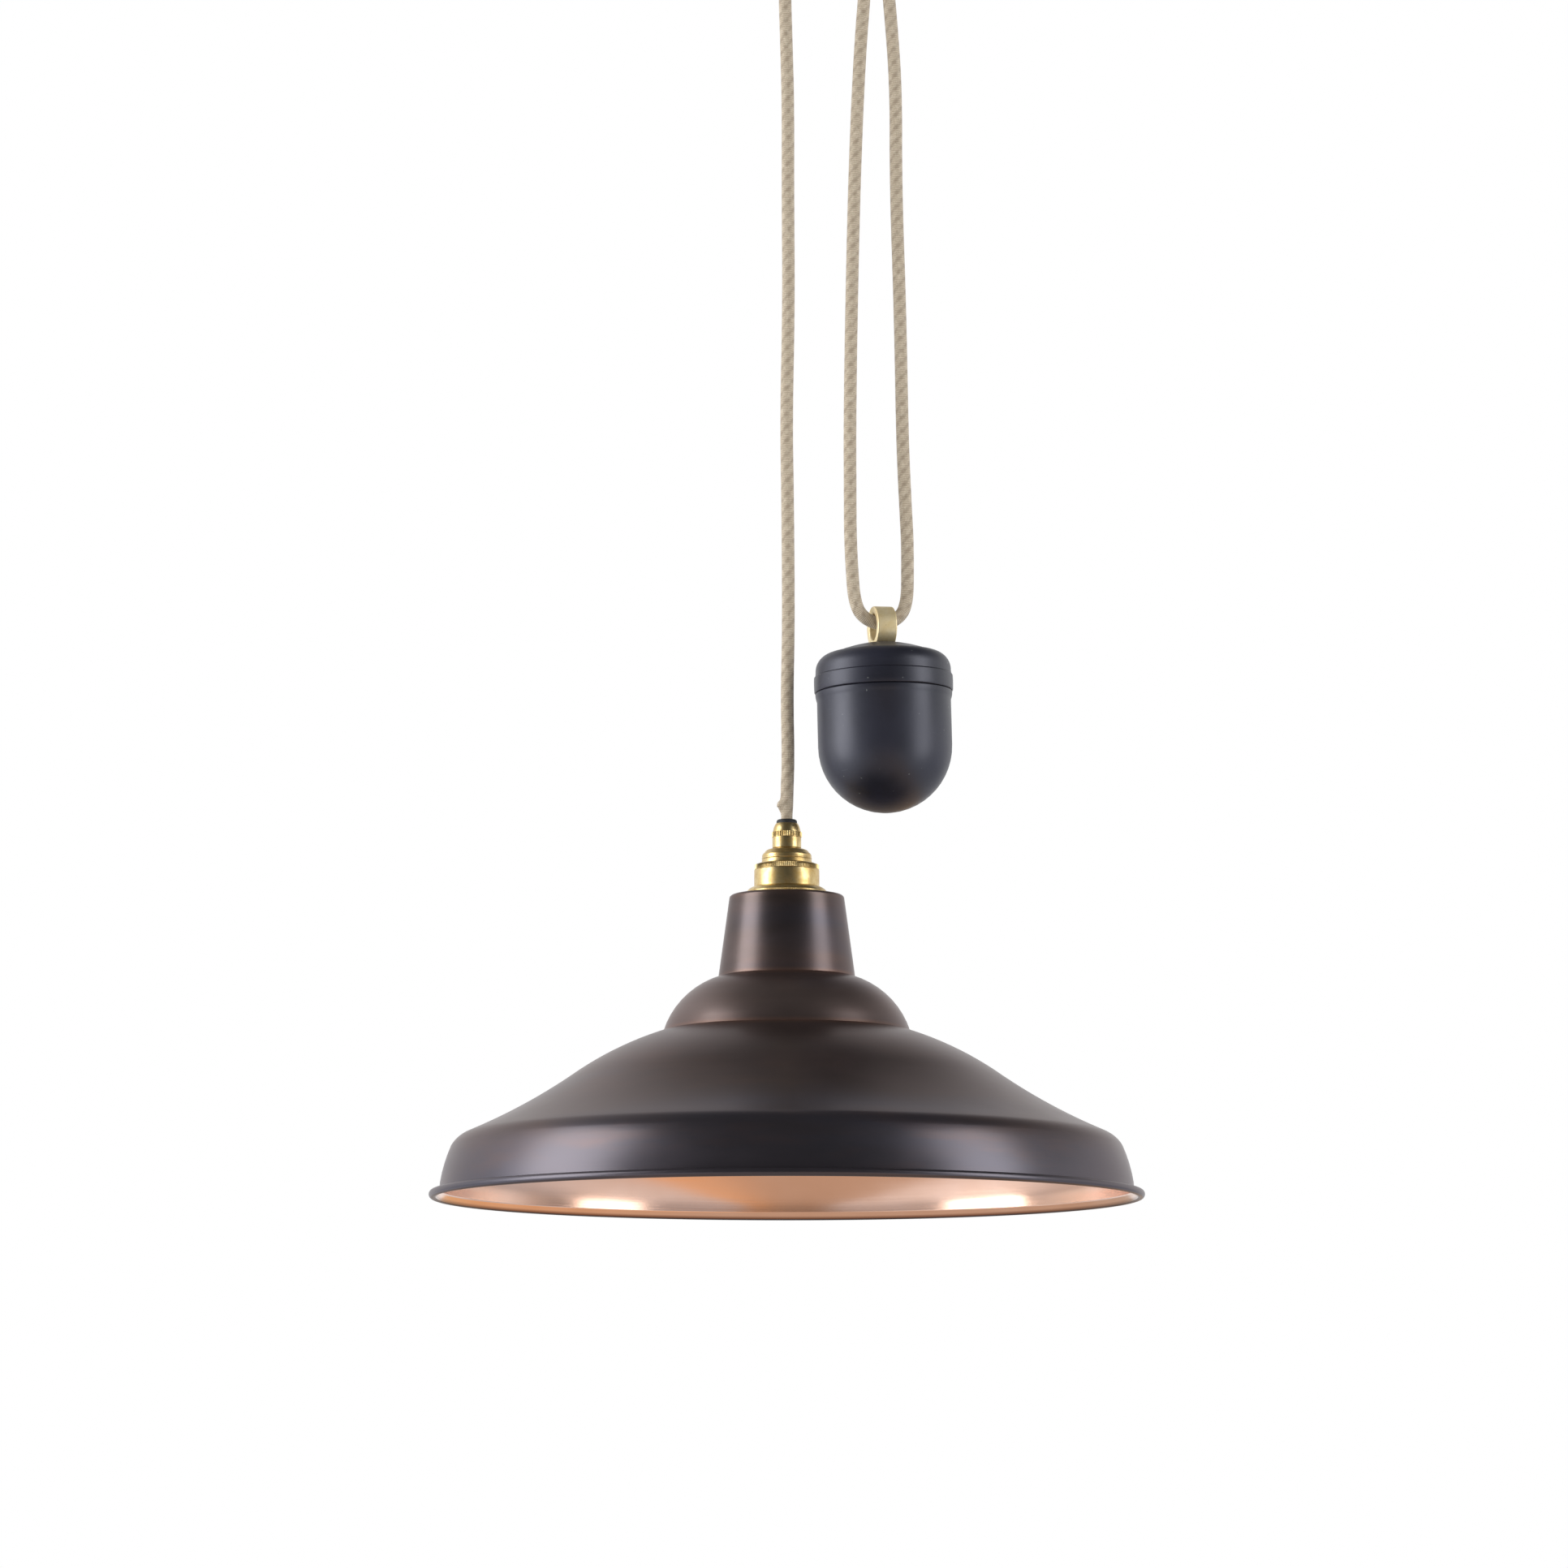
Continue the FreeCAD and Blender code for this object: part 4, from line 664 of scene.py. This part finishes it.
def cord():
    """From the lamp up over the pulley, down through the weight's ring, back up to the fixed grip."""
    lamp, length = along_route("Lamp strand", [
        (-LAY_R, 0, AXLE_Z), (-LAY_R, 0, -107), (-23.9, 0, -150), (-23.0, 0, -185), (-23.1, 0, -245),
        (-22.6, 0, -310), (-24.1, 0, -385), (-23.3, 0, -430), (-22.7, 0, -512), (-23.7, 0, -556),
        (-22.9, 0, -596), (-23.8, 0, -616.9), (-23.8, 0, -631.9)], "lamp_strand", 0.0, frayed)
    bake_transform(lamp)
    bend = [(-LAY_R * math.cos(angle), 0, AXLE_Z + LAY_R * math.sin(angle))
            for angle in map(math.radians, range(0, 181, 6))]
    over = braided_tube("Cord over the pulley", [Vector(spot) * 0.001 for spot in bend], 0.0)
    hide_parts("cord_over_pulley")
    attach(over, "ceiling")
    bight = [near_ring(along, up) for along, up in (
        (-18.4, 26.3), (-17.4, 12.6), (-9.6, 3.6), (2.9, 1.9), (12.8, 7.9), (16.1, 18.7),
        (16.2, 26.3))]
    left, length = along_route("Pulley strand of the weight", [
        (LAY_R, 0, AXLE_Z), (LAY_R, 0, -107), (21.8, -0.4, -147), (18.6, -1.0, -215),
        (16.3, -2.0, -300), (14.9, -3.0, -385), (15.0, -4.4, -430), near_ring(-20.0, 48.2), bight[0]],
        "weight_strand_pulley_side", 0.08)
    right, _ = along_route("Fixed strand of the weight", [
        (36, 0, -54.8), (36, 0, -79.8), (40.4, 0.2, -122), (44.0, 0.4, -175), (43.6, 0.8, -235),
        (46.2, 1.6, -320), (47.3, 2.8, -400), (49.4, 4.0, -444), near_ring(16.5, 49.1), bight[-1]],
        "weight_strand_fixed_side", 1.0)
    for strand, top in ((left, -0.082), (right, -0.0548)):
        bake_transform(strand)
    loop, _ = along_route("Bight in the ring", bight, "cord_bight", length)
    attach(loop, "bight")


# ---------------------------------------------------------------- shade
def shade():
    """Flat top, tapering neck, dome, hollow cone, apron and a rim curled round its wire."""
    curl, bead_r, bead_z, wall = 1.5, 212.6, 2.4, 0.9
    bright_r = bead_r - 1.2

    def on_curl(degrees):
        """A point of the curl round the rim wire."""
        angle = math.radians(degrees)
        return (bead_r + curl * math.cos(angle), bead_z + curl * math.sin(angle))

    outside = [(14.6, 184.2), (32.7, 184.2), (34.9, 182.0, 0.6444), (41.4, 134.4), (74.6, 101.4, 5.8),
               (131.0, 73.2, 2.5), (193.0, 39.0, -1.75), (201.9, 31.3, 1.0), (208.3, 9.4, 0.75),
               (208.6, 5.0), on_curl(225)]
    for angle in range(240, 511, 15):
        outside.append(on_curl(angle))

    def with_inside(line):
        """The sheet's other face follows at its thickness; the curl is dark on both."""
        inner = []
        for index, spot in enumerate(line):
            ahead = line[min(index + 1, len(line) - 1)] - line[max(index - 1, 0)]
            inner.append(spot + Vector((ahead.y, -ahead.x)).normalized() * wall)
        sheet = line + inner[::-1]
        marks = [1 if index >= len(line) and spot.x < bright_r else 0
                 for index, spot in enumerate(sheet)]
        return sheet, marks

    piece = turned("Shade", outside, LAMP, [COPPER, BRIGHT], sides=256, soft=0.7,
                   finishes=with_inside)
    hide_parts("shade_top", "shade_neck", "shade_dome", "shade_cone", "shade_apron")
    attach(piece, "lamp")


# ---------------------------------------------------------------- lampholder
def carried(piece, node, body="lamp"):
    """Hide the node that a piece stands in for, and hang the piece on the body that carries it."""
    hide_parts(node)
    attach(piece, body)


def cord_grip(prefix, where, node, body):
    """Collar, cone nut with a milled band, and the rubber bush that holds the cord."""
    collar = turned(prefix + " grip collar", [
        (4.2, -8), (5, -8), (5, 0), (8.1, 0), (8.1, 0.5), (7.9, 0.75), (8.1, 1), (8.75, 1.15),
        (8.75, 7.6), (6.6, 7.6), (6.6, 12.6), (4.2, 12.6)], where, BRASS, sides=72, soft=0.2)
    carried(collar, node + "_grip_body", body=body)
    nut = turned(prefix + " grip nut", [
        (6.7, 7.65), (8.75, 7.65), (8.75, 11.1), (8.4, 11.1), (8.2, 12.3, -0.05), (6.6, 16.2, -0.25),
        (5.3, 16.2), (5.3, 15.5), (5.4, 14.4), (5.6, 13.1), (6.7, 12.8)], where, BRASS, sides=72,
        keep=True)
    milled(nut, where, Teeth=46, Radius=8.72, Foot=7.9, Height=2.9, Tooth=0.42, Finish=BRASS)
    carried(nut, node + "_grip_nut", body=body)
    bush = turned(prefix + " grip bush", [
        (3.5, 12.8), (5.3, 12.8), (5.2, 14.3), (5.2, 16.2), (6.3, 16.2), (6.25, 16.8, -0.05),
        (5.4, 18.5, -0.3), (3.5, 18.3)], where, RUBBER, sides=64, soft=0.3)
    carried(bush, node + "_grip_bush", body)


def lampholder():
    """Stepped cap, milled ring, bare skirt, milled flange and the socket below."""
    cord_grip("Lamp", LAMP_GRIP, "lamp", "lamp")
    cap = turned("Lampholder cap", [
        (5.1, 212), (8.8, 212), (13.6, 210.2, 1.0), (15.0, 207.4, 0.5), (15.25, 206.6),
        (14.9, 206.0, 0.05), (15.2, 205.2), (15.25, 203.7), (17.4, 203.1), (17.4, 201.4), (14.0, 201.4), (14.0, 208.0),
        (8.8, 210.8, -1.0), (5.1, 210.8)], LAMP, BRASS, sides=96)
    carried(cap, "holder_cap")
    ring = turned("Milled ring", [
        (15.4, 203.6), (17.2, 203.6), (19.2, 202.2), (19.3, 200.6), (19.1, 199.7), (17.6, 199.7),
        (17.6, 203.0), (15.4, 203.0)], LAMP, BRASS, sides=96, keep=True)
    milled(ring, LAMP, Teeth=145, Radius=19.15, Foot=200.1, Height=2.6, Tooth=0.42, Finish=BRASS)
    carried(ring, "union_ring")
    skirt = turned("Lampholder skirt", [
        (18.6, 189.2), (19.75, 189.2), (19.75, 199.5), (18.6, 199.5)], LAMP, BRASS, sides=96)
    carried(skirt, "holder_skirt")
    flange = turned("Milled flange", [
        (14.4, 184.25), (24.3, 184.25), (24.5, 186.2), (20.6, 189.15, -0.4), (14.4, 189.15)],
        LAMP, BRASS, keep=True)
    milled(flange, LAMP, Teeth=182, Radius=24.2, Foot=184.3, Height=1.9, Tooth=0.4, Finish=BRASS)
    carried(flange, "shade_flange")
    clamp = turned("Shade ring", [
        (14.4, 178.3), (16.7, 178.3), (16.7, 181.7), (21.7, 181.7), (21.7, 183.25), (14.4, 183.25)],
        LAMP, BRASS, keep=True)
    milled(clamp, LAMP, Teeth=150, Radius=21.6, Foot=181.8, Height=1.4, Tooth=0.4, Finish=BRASS)
    carried(clamp, "shade_ring")
    barrel = turned("Socket barrel", [
        (12.45, 170.0), (14.3, 170.0), (14.3, 176.5), (14.0, 176.8), (14.3, 177.1), (14.3, 200.0),
        (17.4, 200.0), (17.4, 201.4), (12.45, 201.4)], LAMP, BRASS, sides=80, soft=0.2)
    carried(barrel, "socket_barrel")
    for side in ("left", "right"):
        plunger_spring(side)


def plunger_spring(side):
    """A coil of hard-drawn wire, drawn at rest; the real spring shortens as its plunger is pressed."""
    node, travel = "plunger_spring_" + side, 0.003
    low, high = (Vector(corner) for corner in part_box(node))
    middle, wire, turns, steps, sides = (low + high) / 2, 0.0002, 6, 20, 8
    wide, tall = (high.x - low.x) / 2 - wire, high.z - low.z - 2 * wire
    verts, faces = [], []
    for step in range(turns * steps + 1):
        angle = math.tau * step / steps
        out = Vector((math.cos(angle), math.sin(angle), 0))
        centre = Vector((middle.x, middle.y, low.z + wire + tall * step / turns / steps)) + out * wide
        for turn in range(sides):
            across = math.tau * turn / sides
            verts.append(centre + out * (wire * math.cos(across))
                         + Vector((0, 0, wire * math.sin(across))))
    for step in range(turns * steps):
        for turn in range(sides):
            after = (turn + 1) % sides
            first, second = step * sides, (step + 1) * sides
            faces.append((first + turn, first + after, second + after, second + turn))
    last = turns * steps * sides
    faces += [list(range(sides))[::-1], [last + turn for turn in range(sides)]]
    mesh = bpy.data.meshes.new(node)
    mesh.from_pydata(verts, [], faces)
    mesh.materials.append(SPRING)
    if face_way(mesh) < 0:
        mesh.flip_normals()
    smoothed(mesh, 60)
    piece = shown("Plunger spring " + side, mesh)
    carried(piece, node)
    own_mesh(piece)


# ---------------------------------------------------------------- counterweight
def counterweight():
    """Enamelled bowl, raised band and domed cap, and the brass ring that the cord runs through."""
    bowl = turned("Weight bowl", [
        (0, 0), (40.85, 40.85, -11.965), (40.85, 68.5), (41.8, 73.2, -0.2), (41.5, 73.75),
        (38.85, 73.75), (38.85, 78.7), (36.85, 78.7), (36.85, 40.85), (0, 4, 10.79)], WEIGHT, ENAMEL, sides=160)
    carried(bowl, "weight_body", "weight")
    band = turned("Weight band", [
        (38.9, 74.0), (41.7, 74.0), (42.3, 74.6, -0.1), (42.35, 83.2, -0.1), (41.9, 83.85, -0.1),
        (38.9, 83.85)], WEIGHT, ENAMEL, sides=160)
    carried(band, "weight_band", "weight")
    cap = turned("Weight cap", [
        (4.1, 79.0), (38.85, 79.0), (38.85, 83.95), (41.6, 83.95), (41.3, 86.7), (31.0, 98.1, -3.2),
        (4.1, 104.9, -0.9)], WEIGHT, ENAMEL, sides=160, soft=0.35)
    carried(cap, "weight_cap", "weight")
    lying = Matrix.Rotation(math.radians(90), 4, "Y")
    eye = turned("Weight ring", [
        (8.0, -4.55), (9.5, -6.05, -0.44), (12.05, -6.05), (12.8, -5.3, -0.22), (12.8, 5.3),
        (12.05, 6.05, -0.22), (9.5, 6.05), (8.0, 4.55, -0.44)], RING @ lying, SATIN, sides=112, soft=0)
    shank = turned("Weight shank", [
        (0, -43.3), (3.6, -43.3), (4, -42.7), (4, -9.6), (0, -9.6)], RING, SATIN, sides=48)
    join(eye, shank)
    carried(eye, "weight_ring", body="weight")


def join(first, *others):
    """One mesh from several that share a finish."""
    bpy.ops.object.select_all(action="DESELECT")
    for piece in (first,) + others:
        piece.select_set(True)
    bpy.context.view_layer.objects.active = first
    bpy.ops.object.join()


# ---------------------------------------------------------------- ceiling fitting
def ceiling_fitting():
    """Pulley sheave with its bush, and the cord's fixed grip."""
    cord_grip("Ceiling", CEILING_GRIP, "ceiling", "ceiling")
    wheel = turned("Sheave", [
        (6, -7.3), (9.5, -7.3), (9.5, -2.5), (17, -2.5), (17, -7), (27.5, -7), (28.5, -6, -0.29),
        (24, -4.2), (24, 4.2, 3), (28.5, 6), (27.5, 7, -0.29), (17, 7), (17, 2.5), (9.5, 2.5),
        (9.5, 7.3), (6, 7.3)], PULLEY, BRASS, sides=128, soft=0.4)
    carried(wheel, "sheave", body="pulley")
    bush = turned("Sheave bush", [
        (4.04, -7.9), (6, -7.9), (6, 7.9), (4.04, 7.9)], PULLEY, SATIN, sides=48)
    carried(bush, "sheave_bush", body="pulley")


# ---------------------------------------------------------------- the whole pendant
camera_and_studio()
white_room()
floor()
BRAID = braided_cotton()
COPPER = weathered_copper()
BRIGHT = polished_copper()
BRASS = turned_brass("Turned brass, lightly aged", "#DBC48F", "#C2A368", 0.33, 0.000006)
SATIN = turned_brass("Satin brass, brushed", "#F0E0B8", "#E4D09F", 0.48, 0.000008, 0.72)
ENAMEL = weight_enamel()
RUBBER = moulded("Moulded rubber", "#1B1C1E", "#232427", 0.6)
PORCELAIN = moulded("Glazed porcelain", "#EFEAE0", "#E4DDCE", 0.18, 300.0, 0.00002)
THERMOSET = moulded("Moulded thermoset", "#E9E4D8", "#DED7C7", 0.42)
CORE = moulded("Insulated core, drawn", "#7B4A33", "#6E412C", 0.5)
ZINC = plain_metal("Zinc-plated steel", "#B9BAB8", 0.34)
SPRING = plain_metal("Hard-drawn spring wire", "#C3C4C4", 0.26)
IRON = plain_metal("Grey iron, as cast", "#6F6E6C", 0.62, 400.0)
BRONZED = plain_metal("Bronzed steel, spun", "#5A4B40", 0.40, 160.0)
MILLING = milling_tree()
cord()
shade()
lampholder()
counterweight()
ceiling_fitting()

# CAD pieces that keep their modelled shape and only get a finish
FINISHES = {
    ZINC: ["ceiling_plate", "plate_tabs", "cup_screws", "hanger_stud", "hanger_washer", "hanger_nut",
           "pulley_axle", "axle_clip", "rim_wire", "ring_nut"],
    BRONZED: ["cup_base", "ceiling_cup", "pulley_yoke"],
    BRASS: ["terminal_inserts", "terminal_screws", "earth_terminal", "ceiling_grip_locknut",
            "lamp_grip_locknut", "bayonet_shell", "socket_terminals", "socket_terminal_screws",
            "plunger_left", "plunger_right"],
    THERMOSET: ["terminal_block"],
    PORCELAIN: ["insulator"],
    CORE: ["ceiling_core_wires", "lamp_core_wires"],
    BRAID: ["ceiling_cord_tail", "lamp_cord_tail"],
    IRON: ["weight_ballast"],
}
for made, names in FINISHES.items():
    for name in names:
        NODES[name].data.materials.clear()
        NODES[name].data.materials.append(made)
